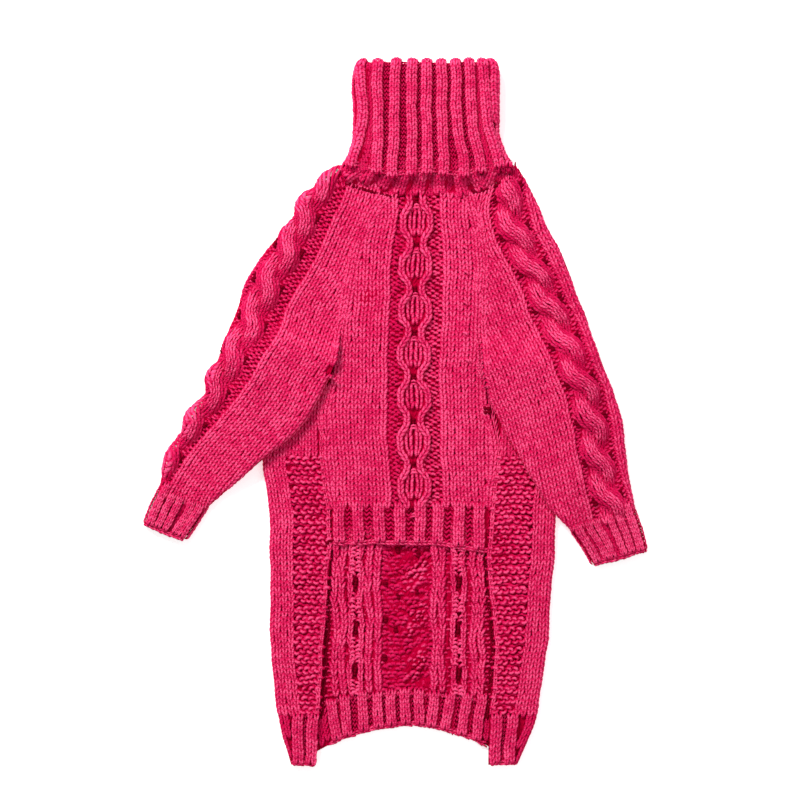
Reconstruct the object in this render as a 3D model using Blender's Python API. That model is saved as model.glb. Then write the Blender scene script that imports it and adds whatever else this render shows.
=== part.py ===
"""Dog sweater, laid flat with its belly side up: hand-knitted raglan jumper with a turned-down rib collar.

Metres, +Z up, +Y towards the collar. The origin is the bottom centre of the whole garment's box.
Lengths below are millimetres until put_in_scene writes them as metres.
"""

import functools
import math
from collections import namedtuple

import bmesh
import bpy
import numpy as np

MM = 0.001

# Driving dimensions, mm
WALL = 3.0
SLEEVE_WALL = 2.4
GAP = 0.3
SEAM = 0.5
LAYER = WALL + GAP
FOLD = WALL + GAP / 2
ROUND = 1.2
RIB = 1.5
CABLE = 3.0
LATTICE = 2.4
PURL = 0.7
BODY_TOP = LAYER + WALL
SLEEVE_LIFT = 2 * LAYER
LIFT_MARGIN = 5.5
LIFT_SIDE = 28.0
LIFT_ABOVE = 30.0
CABLE_WIDTH = 21.0
CABLE_REPEAT = 28.0
LATTICE_PERIOD = 30.9
LATTICE_PINCH = -36.0
LATTICE_NARROW = 4.6
LATTICE_WIDE = 9.6
LATTICE_STRAND = 2.8

# The two rope cables: where each starts in its twist, and 1 where the strand that moves to the front is over
Twist = namedtuple("Twist", "start way")
CABLE_TWIST = {"left": Twist(0.42, 1), "right": Twist(0.12, -1)}
CABLE_SWING = 4.5
CABLE_STRAND = 6.0

YARN = (0.76, 0.03, 0.11, 1.0)
YARN_ROUGHNESS = 0.9

# The body's two side folds, from the underarm down to the hem
Folds = namedtuple("Folds", "y left right")
FOLDS = [
    Folds(36.0, -90.0, 120.5),
    Folds(0.0, -93.0, 118.5),
    Folds(-35.0, -92.0, 116.5),
    Folds(-72.0, -87.5, 113.0),
    Folds(-104.0, -87.0, 111.5),
    Folds(-135.0, -87.0, 109.0),
    Folds(-162.0, -86.5, 107.0),
    Folds(-194.0, -84.0, 102.5),
    Folds(-219.0, -80.0, 97.5),
    Folds(-246.5, -72.5, 86.0),
]

# Where the back, wrapped round to the front, meets the belly panel, and its free edge below the belly
Flaps = namedtuple("Flaps", "y left right")
FLAPS = [
    Flaps(29.0, -43.0, 64.0),
    Flaps(23.5, -44.5, 64.0),
    Flaps(0.5, -49.0, 66.0),
    Flaps(-22.0, -50.0, 71.5),
    Flaps(-40.0, -48.5, 71.0),
    Flaps(-65.0, -45.0, 67.5),
    Flaps(-97.0, -44.5, 65.0),
    Flaps(-120.0, -46.5, 65.5),
    Flaps(-162.0, -49.5, 70.5),
    Flaps(-185.0, -50.5, 69.0),
    Flaps(-212.0, -53.0, 66.0),
    Flaps(-246.5, -55.0, 65.5),
]

# Sleeve sections, collar to wrist: the outer fold, the cable's front edge and the front seam or inner fold,
# the height at which the section meets the back, and the width of the purl gutter beside the cable
Station = namedtuple("Station", "fold_x fold_y edge_x edge_y seam_x seam_y back_y gutter")
LEFT_SLEEVE = [
    Station(-36.5, 172.2, -34.0, 160.0, -7.5, 153.6, 157.0, 9.0),
    Station(-57.0, 157.0, -38.0, 147.5, -18.0, 137.0, 144.5, 9.0),
    Station(-66.5, 144.0, -44.5, 133.5, -23.5, 123.0, 134.0, 9.0),
    Station(-81.5, 124.5, -54.5, 111.0, -30.5, 99.0, 112.5, 9.0),
    Station(-94.0, 109.0, -64.5, 94.0, -34.0, 79.0, 94.0, 9.0),
    Station(-104.0, 91.5, -74.0, 76.5, -37.0, 57.5, 74.5, 9.0),
    Station(-111.5, 69.5, -83.0, 55.0, -42.0, 33.0, 46.0, 9.0),
    Station(-119.0, 52.0, -93.0, 38.0, -50.0, 16.0, None, 8.5),
    Station(-124.0, 37.5, -101.0, 23.5, -60.0, -2.0, None, 8.0),
    Station(-129.5, 26.5, -109.5, 12.0, -71.0, -15.0, None, 7.0),
    Station(-133.5, 10.5, -119.5, 0.0, -84.5, -26.0, None, 5.0),
    Station(-146.0, -9.5, -135.5, -18.0, -104.0, -42.0, None, 3.0),
    Station(-159.5, -39.0, -154.0, -43.0, -127.0, -62.0, None, 2.0),
    Station(-166.0, -56.0, -161.5, -57.5, -133.5, -68.5, None, 2.0),
]
RIGHT_SLEEVE = [
    Station(87.0, 172.0, 69.5, 159.4, 53.0, 154.8, 156.0, 3.0),
    Station(94.0, 159.0, 67.0, 146.0, 56.5, 142.0, 149.0, 3.0),
    Station(105.5, 133.5, 73.0, 118.5, 61.0, 113.0, 123.0, 3.0),
    Station(118.0, 110.0, 85.0, 95.0, 61.0, 84.5, 99.0, 3.0),
    Station(127.5, 83.5, 95.5, 69.0, 60.5, 53.0, 73.0, 3.0),
    Station(138.0, 55.5, 107.5, 43.0, 63.5, 25.0, 46.0, 3.0),
    Station(144.0, 39.0, 113.0, 27.5, 67.0, 11.0, None, 3.0),
    Station(149.5, 25.0, 118.0, 15.0, 70.5, 0.0, None, 3.0),
    Station(158.5, -2.5, 125.0, -11.5, 82.5, -23.0, None, 3.0),
    Station(162.5, -30.5, 130.0, -39.5, 98.0, -48.0, None, 3.0),
    Station(165.5, -51.5, 135.5, -60.5, 110.5, -68.0, None, 3.0),
    Station(169.0, -70.0, 141.0, -78.5, 125.5, -83.0, None, 3.0),
]
LEFT_CUFF = [
    Station(-166.2, -56.6, -152.0, -62.0, -134.0, -69.0, None, 0.0),
    Station(-171.0, -67.0, -157.0, -72.5, -141.0, -79.0, None, 0.0),
    Station(-176.0, -78.5, -163.0, -83.5, -148.5, -89.0, None, 0.0),
]
RIGHT_CUFF = [
    Station(169.2, -70.6, 148.0, -77.0, 125.7, -83.7, None, 0.0),
    Station(173.0, -83.0, 153.0, -89.0, 133.0, -95.0, None, 0.0),
    Station(177.0, -96.0, 159.0, -101.5, 140.5, -107.0, None, 0.0),
]
LEFT_CUFF_RIBS = 5
RIGHT_CUFF_RIBS = 6

# Straight raglan edges of the back: neck corner, and where the seam reaches the side fold
BACK_NECK = {"left": (-34.5, 158.0), "right": (68.0, 157.0)}
BACK_FOLD = {"left": (-90.0, 36.0), "right": (120.5, 29.0)}
UNDERARM = {"left": (-43.0, 29.0), "right": (64.0, 23.5)}

# The belly's raglan edges, neck to underarm, meet the sleeves' seams at these heights
LEFT_RAGLAN_ROWS = 7
RIGHT_RAGLAN_ROWS = 6

# Ribs: middles across the front
HEM_RIBS = (-39.0, -25.5, -10.5, 4.0, 18.0, 30.5, 45.0, 59.0)
BACK_HEM_RIBS = (-42.5, -34.2, -22.4, -11.8, -2.5, 7.5, 17.5, 27.0, 37.5, 48.8, 59.3)
FLAP_RIBS = {"left": (-67.6, -57.8), "right": (71.0, 81.5)}

# What shows of the back's wrong side: knit bands, two open lattices and the middle cable
Band = namedtuple("Band", "middle half")
WINDOW_BANDS = (Band(-39.1, 5.0), Band(-14.9, 5.6), Band(30.5, 5.0), Band(58.3, 5.0))
WINDOW_BAND_HEIGHT = 1.4
WINDOW_LATTICES = (-27.2, 44.8)
WINDOW_CROSSING = -135.5
WINDOW_PERIOD = 32.2
WINDOW_CABLE = Band(9.0, 16.0)
WINDOW_CABLE_REPEAT = 26.5

HEM_LINE = -66.5
BACK_HEM_FLAP_LINE = -212.0


def spline(knots, values, at):
    """A smooth curve through the values, flat beyond its ends."""
    knots = np.asarray(knots, float)
    values = np.asarray(values, float)
    if knots[0] > knots[-1]:
        knots, values = knots[::-1], values[::-1]
    at = np.clip(at, knots[0], knots[-1])
    slopes = np.gradient(values, knots)
    i = np.clip(np.searchsorted(knots, at) - 1, 0, len(knots) - 2)
    width = knots[i + 1] - knots[i]
    t = (at - knots[i]) / width
    return (
        values[i] * (2 * t**3 - 3 * t**2 + 1)
        + slopes[i] * width * (t**3 - 2 * t**2 + t)
        + values[i + 1] * (3 * t**2 - 2 * t**3)
        + slopes[i + 1] * width * (t**3 - t**2)
    )


def column(table, name):
    return [getattr(row, name) for row in table]


def polyline_at(table, name, y):
    """The column's value at height y on straight lines between the table's rows."""
    return float(np.interp(-y, [-row.y for row in table], column(table, name)))


def smoothstep(t):
    t = min(max(t, 0.0), 1.0)
    return t * t * (3 - 2 * t)


def dome(t):
    """A half-round profile, 1 in the middle and 0 at t = -1 and t = 1."""
    return math.sqrt(max(0.0, 1 - t * t))


def fold_x(side, y):
    return spline(column(FOLDS, "y"), column(FOLDS, side), y)


def flap_x(side, y):
    return polyline_at(FLAPS, side, y)


def flap_top(side, x):
    """Height of the flap's sewn top edge, side fold to underarm."""
    (x0, y0), (x1, y1) = sorted((BACK_FOLD[side], UNDERARM[side]))
    return float(np.interp(x, (x0, x1), (y0, y1)))


def back_raglan_x(side, y):
    (x0, y0), (x1, y1) = BACK_NECK[side], BACK_FOLD[side]
    return x0 + (x1 - x0) * (y0 - y) / (y0 - y1)


def back_top(x):
    """Height of the back's upper edge: raglan, neck, raglan."""
    for side, way in (("left", -1), ("right", 1)):
        (x0, y0), (x1, y1) = BACK_NECK[side], BACK_FOLD[side]
        if (x - x0) * way > 0:
            return y0 + (y1 - y0) * min((x - x0) / (x1 - x0), 1.0)
    return 157.5 + 4.5 * (1 - ((x - 16.75) / 51.25) ** 2)


def neckline(x):
    """Height of the front neckline, under the neckband."""
    return 151.5 + 8.0 * ((x - 20.0) / 48.0) ** 2


def belly_hem_edge(x):
    return -91.0 - 5.0 * smoothstep((x - 20.0) / 45.0)


def back_hem_line(x):
    return -197.0 - 15.0 * min(abs(x - 9.0) / 88.0, 1.0) ** 2


def back_hem_edge(x):
    return -218.5 - 27.5 * min(abs(x - 9.0) / 78.0, 1.0) ** 1.9


def sleeve_lift(side, x, y):
    """How far a sleeve is raised where it lies over the body."""
    way = 1 if side == "left" else -1
    inside = (x - fold_x(side, y)) * way + LIFT_MARGIN
    below = flap_top(side, x) + LIFT_MARGIN - y
    return SLEEVE_LIFT * smoothstep(1 + inside / LIFT_SIDE) * smoothstep(1 + below / LIFT_ABOVE)


class Chain:
    """Lines of points running the same way along a piece, side by side across one of its faces."""

    def __init__(self):
        self.lines = []

    def add(self, across, along, points):
        self.lines.append((across, list(along), [tuple(p) for p in points]))


class Shell:
    """A closed wall between two chains, which share their edges' places along the piece."""

    def __init__(self, name, outer, inner):
        self.name = name
        self.points = []
        self.faces = []
        outer_lines = [self.take(line) for line in outer.lines]
        inner_lines = [self.take(line) for line in inner.lines]
        for lines in (outer_lines, inner_lines):
            for first, second in zip(lines, lines[1:]):
                self.strip(first[1:], second[1:])
        for end in (0, -1):
            self.strip(outer_lines[end][1:], inner_lines[end][1:])
            rims = []
            for lines in (outer_lines, inner_lines):
                rims.append(([line[0] for line in lines], [line[2][end] for line in lines]))
            self.strip(*rims)

    def take(self, line):
        across, along, points = line
        start = len(self.points)
        self.points.extend(points)
        return across, along, list(range(start, start + len(points)))

    def strip(self, first, second):
        """Triangles between two lines of points, always stepping along the one that lags."""
        (s, a), (t, b) = first, second
        i = j = 0
        while i < len(a) - 1 or j < len(b) - 1:
            if j == len(b) - 1 or (i < len(a) - 1 and s[i + 1] <= t[j + 1]):
                self.faces.append((a[i], a[i + 1], b[j]))
                i += 1
            else:
                self.faces.append((a[i], b[j + 1], b[j]))
                j += 1

    def put_in_scene(self):
        mesh = bpy.data.meshes.new(self.name)
        mesh.from_pydata([[c * MM for c in p] for p in self.points], [], self.faces)
        work = bmesh.new()
        work.from_mesh(mesh)
        bmesh.ops.recalc_face_normals(work, faces=work.faces)
        if work.calc_volume(signed=True) < 0:
            bmesh.ops.reverse_faces(work, faces=work.faces)
        work.to_mesh(mesh)
        work.free()
        mesh.shade_smooth()
        mesh.set_sharp_from_angle(angle=math.radians(50))
        obj = bpy.data.objects.new(self.name, mesh)
        bpy.context.collection.objects.link(obj)
        mesh.materials.append(yarn_material(self.name))
        return obj


def yarn_material(name):
    material = bpy.data.materials.new(name + "_yarn")
    material.use_nodes = True
    shader = material.node_tree.nodes["Principled BSDF"]
    shader.inputs["Base Color"].default_value = YARN
    shader.inputs["Roughness"].default_value = YARN_ROUGHNESS
    shader.inputs["Metallic"].default_value = 0.0
    return material


def rib_points(middles, half=3.3, slope=1.2):
    """Where a row of ribs needs points across it, each with its share of the ribs' height."""
    found = []
    for middle in middles:
        found += [(middle - half, 0.0), (middle - half + slope, 1.0)]
        found += [(middle + half - slope, 1.0), (middle + half, 0.0)]
    return found


def cable_height(side, along, across, gutter):
    """Rope cable: two strands that change places. across is measured from the sleeve's front edge."""
    if across < gutter or across > gutter + CABLE_WIDTH:
        return -PURL if 0.8 < across < gutter else 0.0
    twist = CABLE_TWIST[side]
    height = 0.0
    for strand in (0, 1):
        turn = math.pi * (along / CABLE_REPEAT + twist.start + strand)
        swing = CABLE_SWING * math.tanh(1.5 * math.cos(turn)) / math.tanh(1.5)
        offset = across - gutter - CABLE_WIDTH / 2 - swing
        over = twist.way * math.sin(turn)
        height = max(height, CABLE * (0.62 + 0.38 * over) * dome(offset / CABLE_STRAND))
    return height


def lattice_middle(y):
    return 13.5 + 2.0 * smoothstep((y - 20.0) / 130.0)


def lattice_height(x, y):
    """A chain of six-sided cells: two strands that draw together and part."""
    offset = abs(x - lattice_middle(y))
    wave = math.cos(2 * math.pi * (y - LATTICE_PINCH) / LATTICE_PERIOD)
    strand = (LATTICE_NARROW + LATTICE_WIDE) / 2 - (LATTICE_WIDE - LATTICE_NARROW) / 2 * wave
    ridge = LATTICE * dome((offset - strand) / LATTICE_STRAND)
    if ridge > 0:
        return ridge
    return -PURL if offset > strand else 0.0


def wrong_side_height(x, y):
    """The back's cables seen from inside: two lattices, a middle cable and the knit bands between them."""
    if y > belly_hem_edge(x) - 7.0 or y < back_hem_line(x) + 1.0:
        return 0.0
    left, right = flap_x("left", y) + 4.5, flap_x("right", y) - 5.5
    if x < left or x > right:
        return 0.0
    height = max(WINDOW_BAND_HEIGHT * dome((x - band.middle) / band.half) for band in WINDOW_BANDS)
    wave = abs(math.sin(math.pi * (y - WINDOW_CROSSING) / WINDOW_PERIOD))
    reach = 3.4 + 5.0 * wave**0.75
    for middle in WINDOW_LATTICES:
        height = max(height, RIB * dome((abs(x - middle) - reach) / 3.0))
    if abs(x - WINDOW_CABLE.middle) < WINDOW_CABLE.half:
        ridge = math.sin(2 * math.pi * (y - 0.85 * x + 112.0) / WINDOW_CABLE_REPEAT)
        to_right = smoothstep((x - 3.0) / 10.0)
        height = max(height, (0.4 + 1.2 * to_right) * smoothstep(0.5 + 0.9 * ridge))
    return height


def evenly(first, last, spacing):
    count = max(1, round(abs(last - first) / spacing))
    return [first + (last - first) * i / count for i in range(count + 1)]


# Lines of points across a sleeve. On the lower layer w runs from 0 at the outer fold to 1 at the back seam,
# and on the upper one v runs from 0 at the fold over 1 at the cable's front edge to 2 at the front seam.
LOWER_W = (0.82, 0.66, 0.52, 0.4, 0.28, 0.16)
CABLE_SHARES = tuple(k / 9 for k in range(1, 9))
INNER_SHARES = (0.25, 0.5, 0.75)
FRONT_V = (1.0, 1.33, 1.66)
SEAM_V = 1.9999
SEAM_EASE = 1.6
FOLD_ANGLES = (-50.0, 0.0, 50.0)
# One rib of a cuff, in half ribs from its start
CUFF_RIB = ((0.35, 0.0), (0.75, 1.0), (1.45, 1.0), (1.85, 0.0))


def sleeve(name, side, table, ribs=0, fine=4.7, coarse=11.0):
    """A sleeve or cuff: one strip bent round its outer fold, its two edges meeting along the underarm."""
    way = 1 if side == "left" else -1
    edge = np.array([(row.edge_x, row.edge_y) for row in table])
    knots = [0.0] + list(np.cumsum(np.linalg.norm(np.diff(edge, axis=0), axis=1)))
    end = knots[-1]
    coarse_rows = []
    for s in sorted(set(evenly(0.0, end, coarse)[1:-1] + knots)):
        if s in knots or not coarse_rows or s - coarse_rows[-1] > 3.0:
            coarse_rows.append(s)
    fine_rows = coarse_rows if ribs else evenly(0.0, end, fine)

    def place(what, s):
        if what == "back":
            points = []
            for row in table:
                if row.back_y is None:
                    points.append((row.seam_x, row.seam_y))
                else:
                    points.append((back_raglan_x(side, row.back_y), row.back_y))
            return np.array([np.interp(s, knots, values) for values in zip(*points)])
        values = [column(table, what + axis) for axis in ("_x", "_y")]
        if what == "seam":
            return np.array([np.interp(s, knots, v) for v in values])
        return np.array([spline(knots, v, s) for v in values])

    def closed(s):
        """0 where the sleeve lies open along its raglan, 1 below the underarm."""
        return float(np.interp(s, knots, [float(row.back_y is None) for row in table]))

    def seam_gap(s):
        return np.array([way * SEAM * 0.8 * (1 - closed(s)), 0.0])

    def upper(s, v, inset=0.0):
        """Plan place on the upper layer."""
        fold, front, seam = place("fold", s), place("edge", s), place("seam", s) - seam_gap(s)
        near, far = (fold, front) if v < 1 else (front, seam)
        step = far - near
        return near + step * (v if v < 1 else v - 1) + step / np.linalg.norm(step) * inset

    def lower(s, w, inset=0.0):
        """Plan place on the lower layer."""
        fold = place("fold", s)
        step = place("back", s) - seam_gap(s) - fold
        return fold + step * w + step / np.linalg.norm(step) * inset

    def toward_edge(s, share):
        """v at a share of the way from the fold's round to the cable's front edge."""
        start = (FOLD + 0.2) / np.linalg.norm(place("edge", s) - place("fold", s))
        return start + (1 - start) * share

    def add(chain, across, rows, where, height):
        """A line of points down the sleeve; the height is a number, or is found at each row."""
        points = []
        for s in rows:
            x, y = where(s)
            rise = height(s) if callable(height) else height
            points.append((x, y, sleeve_lift(side, x, y) + rise))
        chain.add(across, rows, points)

    def cable_top(s, v):
        front, fold = place("edge", s), place("fold", s)
        reach = np.linalg.norm(front - fold)
        gutter = float(np.interp(s, knots, column(table, "gutter")))
        height = cable_height(side, s, reach * (1 - v), gutter)
        if height > 0:
            height *= smoothstep(reach * v / (2.0 * FOLD))
        return BODY_TOP + height * smoothstep(s / 4.0) * smoothstep((end - s) / 4.0)

    outer, inner = Chain(), Chain()
    lower_w = (0.5,) if ribs else LOWER_W
    inner_shares = () if ribs else INNER_SHARES
    front_v = (1.0,) if ribs else FRONT_V
    # Across positions run from 0 at the back edge, 1 at the fold to 2 at the front edge.
    add(outer, 0.0, coarse_rows, lambda s: lower(s, 1.0), lambda s: ROUND * closed(s))
    add(outer, 0.05, coarse_rows, lambda s: lower(s, 1.0, -SEAM_EASE), 0.0)
    for w in lower_w:
        add(outer, 1 - w, coarse_rows, lambda s, w=w: lower(s, w), 0.0)
    add(outer, 0.95, coarse_rows, lambda s: lower(s, 0.0, FOLD), 0.0)
    for angle in FOLD_ANGLES:
        reach = FOLD * (1 - math.cos(math.radians(angle)))
        rise = FOLD * (1 + math.sin(math.radians(angle)))
        add(outer, 1.0 + angle / 1000, coarse_rows, lambda s, r=reach: upper(s, 0.0, r), rise)
    if ribs:
        for k in range(ribs):
            for mark, share in CUFF_RIB:
                v = 0.12 + 1.76 * (2 * k + mark) / (2.0 * ribs)
                add(outer, 1.05 + 0.45 * v, coarse_rows, lambda s, v=v: upper(s, v), BODY_TOP + share * RIB)
    else:
        add(outer, 1.06, fine_rows, lambda s: upper(s, 0.0, FOLD), lambda s: cable_top(s, 0.1))
        for share in CABLE_SHARES:
            add(outer, 1.06 + 0.44 * share, fine_rows,
                lambda s, c=share: upper(s, toward_edge(s, c)),
                lambda s, c=share: cable_top(s, toward_edge(s, c)))
        for v in front_v:
            add(outer, 1 + 0.5 * v, coarse_rows, lambda s, v=v: upper(s, v), BODY_TOP)
    add(outer, 1.96, coarse_rows, lambda s: upper(s, SEAM_V, -SEAM_EASE), BODY_TOP)
    add(outer, 2.0, coarse_rows, lambda s: upper(s, SEAM_V), BODY_TOP - ROUND)

    under, above = SLEEVE_WALL, BODY_TOP - SLEEVE_WALL
    add(inner, 0.0, coarse_rows, lambda s: lower(s, 1.0), under)
    for w in lower_w:
        add(inner, 1 - w, coarse_rows, lambda s, w=w: lower(s, w), under)
    add(inner, 0.95, coarse_rows, lambda s: lower(s, 0.0, FOLD + 0.2), under)
    add(inner, 1.0, coarse_rows, lambda s: upper(s, 0.0, SLEEVE_WALL), FOLD)
    add(inner, 1.06, coarse_rows, lambda s: upper(s, 0.0, FOLD + 0.2), above)
    for share in inner_shares:
        add(inner, 1.06 + 0.44 * share, coarse_rows, lambda s, c=share: upper(s, toward_edge(s, c)), above)
    for v in front_v:
        add(inner, 1 + 0.5 * v, coarse_rows, lambda s, v=v: upper(s, v), above)
    add(inner, 2.0, coarse_rows, lambda s: upper(s, SEAM_V), above)
    return Shell(name, outer, inner)


def belly_edge_x(side, y):
    """The belly's side edge: raglan above the underarm, seam with the back below it."""
    table = LEFT_SLEEVE[:LEFT_RAGLAN_ROWS] if side == "left" else RIGHT_SLEEVE[:RIGHT_RAGLAN_ROWS]
    way = 1 if side == "left" else -1
    if y > UNDERARM[side][1]:
        knots = [(row.seam_y, row.seam_x) for row in table] + [UNDERARM[side][::-1]]
        x = float(np.interp(-y, [-k[0] for k in knots], [k[1] for k in knots]))
        return x + way * SEAM * 0.4
    return flap_x(side, y) + way * SEAM * 0.4


EDGE_START = {"left": 79.0, "right": 113.0}
GUTTERS = {"left": -2.5, "right": 33.5}


def belly_x(side, share, y):
    """Plan place of a knit column of the belly: share 0 at the gutter beside the lattice, 1 at the edge."""
    gutter = GUTTERS[side] + lattice_middle(y) - 13.5
    edge = belly_edge_x(side, min(y, EDGE_START[side]))
    return gutter + share * (edge - gutter)


# Where the lattice has lines of points, out from its middle
LATTICE_OFFSETS = (2.0, 4.4, 6.4, 8.4, 10.4, 12.4, 14.5)
BELLY_ROWS = 3.86
BELLY_TOP = 160.0


def belly():
    """The short front panel under the dog's belly, with the lattice up its middle."""
    fine = evenly(BELLY_TOP, HEM_LINE, BELLY_ROWS)
    coarse = evenly(BELLY_TOP, HEM_LINE, 14.0)
    edge_rows = [row.y for row in FLAPS if row.y > HEM_LINE]
    end = HEM_LINE + 0.2

    def line(x_of, rows, start, height):
        ys = [start] + [y for y in rows if end + 1.5 < y < start - 1.5] + [end]
        return [-y for y in ys], [(x_of(y), y, height(x_of(y), y)) for y in ys]

    def panel_lines(side, level, edge_drop):
        """Lines (share across the panel, places along, points) from its side edge to the gutter."""
        table = LEFT_SLEEVE[:LEFT_RAGLAN_ROWS] if side == "left" else RIGHT_SLEEVE[:RIGHT_RAGLAN_ROWS]
        start = EDGE_START[side]
        way = -1 if side == "left" else 1
        knots = sorted([row.seam_y for row in table if row.seam_y < start] + edge_rows, reverse=True)
        lines = [(1.0,) + line(lambda y: belly_edge_x(side, y), knots, start, lambda x, y: level - edge_drop)]
        span = belly_edge_x(side, start) - GUTTERS[side]
        ends = [((row.seam_x - way * SEAM * 0.4 - GUTTERS[side]) / span, row.seam_y) for row in table]
        ends = [(share, y) for share, y in ends if y > start]
        for share, top in ends + [(0.0, neckline(GUTTERS[side]) - SEAM)]:
            x_of = functools.partial(belly_x, side, share)
            lines.append((share,) + line(x_of, coarse, top, lambda x, y: level))
        return sorted(lines, key=lambda item: item[0])

    outer, inner = Chain(), Chain()
    for chain, level, shown in ((outer, BODY_TOP, True), (inner, LAYER, False)):
        edge_drop = ROUND if shown else 0.0
        offsets = LATTICE_OFFSETS if shown else ()
        for share, along, points in reversed(panel_lines("left", level, edge_drop)):
            chain.add(-1 - share, along, points)
        for offset in [-o for o in reversed(offsets)] + [0.0] + list(offsets):
            height = (lambda x, y: BODY_TOP + lattice_height(x, y)) if shown else (lambda x, y: LAYER)
            along, points = line(lambda y, o=offset: lattice_middle(y) + o, fine if shown else coarse,
                                 neckline(14.0 + offset) - SEAM, height)
            chain.add(offset / 20, along, points)
        for share, along, points in panel_lines("right", level, edge_drop):
            chain.add(1 + share, along, points)
    return Shell("belly", outer, inner)


def belly_hem():
    """The belly's 2 by 2 rib."""
    outer, inner = Chain(), Chain()
    left, right = belly_edge_x("left", -80.0), belly_edge_x("right", -80.0)

    def line(x, z_top, z_edge):
        ys = (HEM_LINE - 0.2, HEM_LINE - 2.0, belly_hem_edge(x) + 1.5, belly_hem_edge(x))
        zs = (z_edge, z_top, z_top, z_edge)
        xs = [x + (belly_edge_x("left", y) - left if x < left + 3 else 0.0) for y in ys]
        xs = [px + (belly_edge_x("right", y) - right if x > right - 3 else 0.0) for px, y in zip(xs, ys)]
        return [-y for y in ys], list(zip(xs, ys, zs))

    marks = [(left, -ROUND / RIB)]
    marks += [mark for mark in rib_points(HEM_RIBS, half=5.0) if left + 1.0 < mark[0] < right - 1.0]
    marks += [(right, -ROUND / RIB)]
    for x, share in marks:
        top = BODY_TOP + share * RIB
        along, points = line(x, top, min(top, BODY_TOP))
        outer.add(x, along, points)
    for x in (left, 10.0, right):
        along, points = line(x, LAYER, LAYER)
        inner.add(x, [along[0], along[-1]], [points[0], points[-1]])
    return Shell("belly_hem", outer, inner)


def back_panel(name, top_of, end_of, flap_top_of, flap_end, rows, relief, flap_relief, columns, flap_columns):
    """The long back: its flat layer, the two side folds and the flaps that wrap round to the front."""
    outer, inner = Chain(), Chain()
    edge_rows = [row.y for row in FLAPS]

    def line(x_of, start, end, height, ys):
        ys = [start] + [y for y in ys if end + 2.0 < y < start - 2.0] + [end]
        return [-y for y in ys], [(x_of(y), y, height(x_of(y), y)) for y in ys]

    def share_x(share, y):
        left = fold_x("left", min(y, BACK_FOLD["left"][1])) + FOLD
        right = fold_x("right", min(y, BACK_FOLD["right"][1])) - FOLD
        return left + share * (right - left)

    def settle(x_of, of, guess):
        """Height at which a slanting column meets an edge given by its place across."""
        y = guess
        for _ in range(30):
            y = 0.5 * y + 0.5 * of(x_of(y))
        return y

    def flap_x_of(side, share):
        way = -1 if side == "left" else 1

        def x_of(y):
            free_edge = flap_x(side, y) + way * SEAM * 0.4
            return (1 - share) * free_edge + share * (fold_x(side, y) - way * FOLD)

        return x_of

    def flap_lines(side, chain, z, rounded):
        lines = []
        marks = [(0.0, z - (ROUND if rounded else 0.0), 0.0)]
        if rounded:
            marks += [(0.04, z, 0.0)]
        marks += [(share, z, h) for share, h in (flap_columns[side] if rounded else [(0.5, 0.0)])]
        marks += [(1.0, z, 0.0)]
        for share, height, extra in marks:
            x_of = flap_x_of(side, share)
            start = flap_top_of(side, x_of)
            ys = edge_rows if share < 0.1 else rows["plain"]
            along, points = line(x_of, start, flap_end, lambda x, y, h=height + extra * flap_relief: h, ys)
            lines.append((1 - share, along, points))
        return lines

    def fold_lines(side, rounded):
        way = 1 if side == "left" else -1
        start = flap_top_of(side, lambda y: fold_x(side, y))
        lines = []
        for angle in ((50.0, 0.0, -50.0) if rounded else (0.0,)):
            radius = FOLD if rounded else GAP / 2
            reach = FOLD - radius * math.cos(math.radians(angle))
            rise = FOLD + radius * math.sin(math.radians(angle))
            along, points = line(lambda y, r=reach: fold_x(side, y) + way * r, start, flap_end,
                                 lambda x, y, z=rise: z, rows["plain"])
            lines.append((angle / 1000, along, points))
        return lines

    for chain, rounded in ((outer, True), (inner, False)):
        top = BODY_TOP if rounded else LAYER
        for across, along, points in flap_lines("left", chain, top, rounded):
            chain.add(-3 - across, along, points)
        for across, along, points in fold_lines("left", rounded):
            chain.add(-2.5 - across, along, points)
        marks = (0.0, 0.13, 0.27, 0.4, 0.5, 0.6, 0.74, 0.87, 1.0) if rounded else columns
        for share in marks:
            x_of = lambda y, share=share: share_x(share, y)
            start = settle(x_of, top_of, 40.0)
            end = settle(x_of, end_of, -205.0)
            height = (lambda x, y: 0.0) if rounded else (lambda x, y: WALL + relief(x, y))
            fine = rows["fine"] if not rounded and share not in (0.0, 1.0) else rows["plain"]
            along, points = line(x_of, start, end, height, fine)
            chain.add(-2 + 4 * share, along, points)
        for across, along, points in reversed(fold_lines("right", rounded)):
            chain.add(2.5 + across, along, points)
        for across, along, points in reversed(flap_lines("right", chain, top, rounded)):
            chain.add(3 + across, along, points)
    return Shell(name, outer, inner)


def back():
    plain = evenly(150.0, -200.0, 17.0)
    fine = evenly(150.0, -85.0, 19.0) + evenly(-92.0, -208.0, 4.1)
    columns = [0.0, 0.1] + evenly(0.175, 0.815, 0.021) + [0.9, 1.0]
    flap_columns = {side: [(0.35, 0.0), (0.7, 0.0)] for side in ("left", "right")}
    return back_panel(
        "back", lambda x: back_top(x) - SEAM, lambda x: back_hem_line(x) + SEAM,
        lambda side, x_of: flap_top(side, x_of(30.0)) - SEAM, BACK_HEM_FLAP_LINE + SEAM,
        {"plain": plain, "fine": fine}, wrong_side_height, 0.0, columns, flap_columns)


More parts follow.
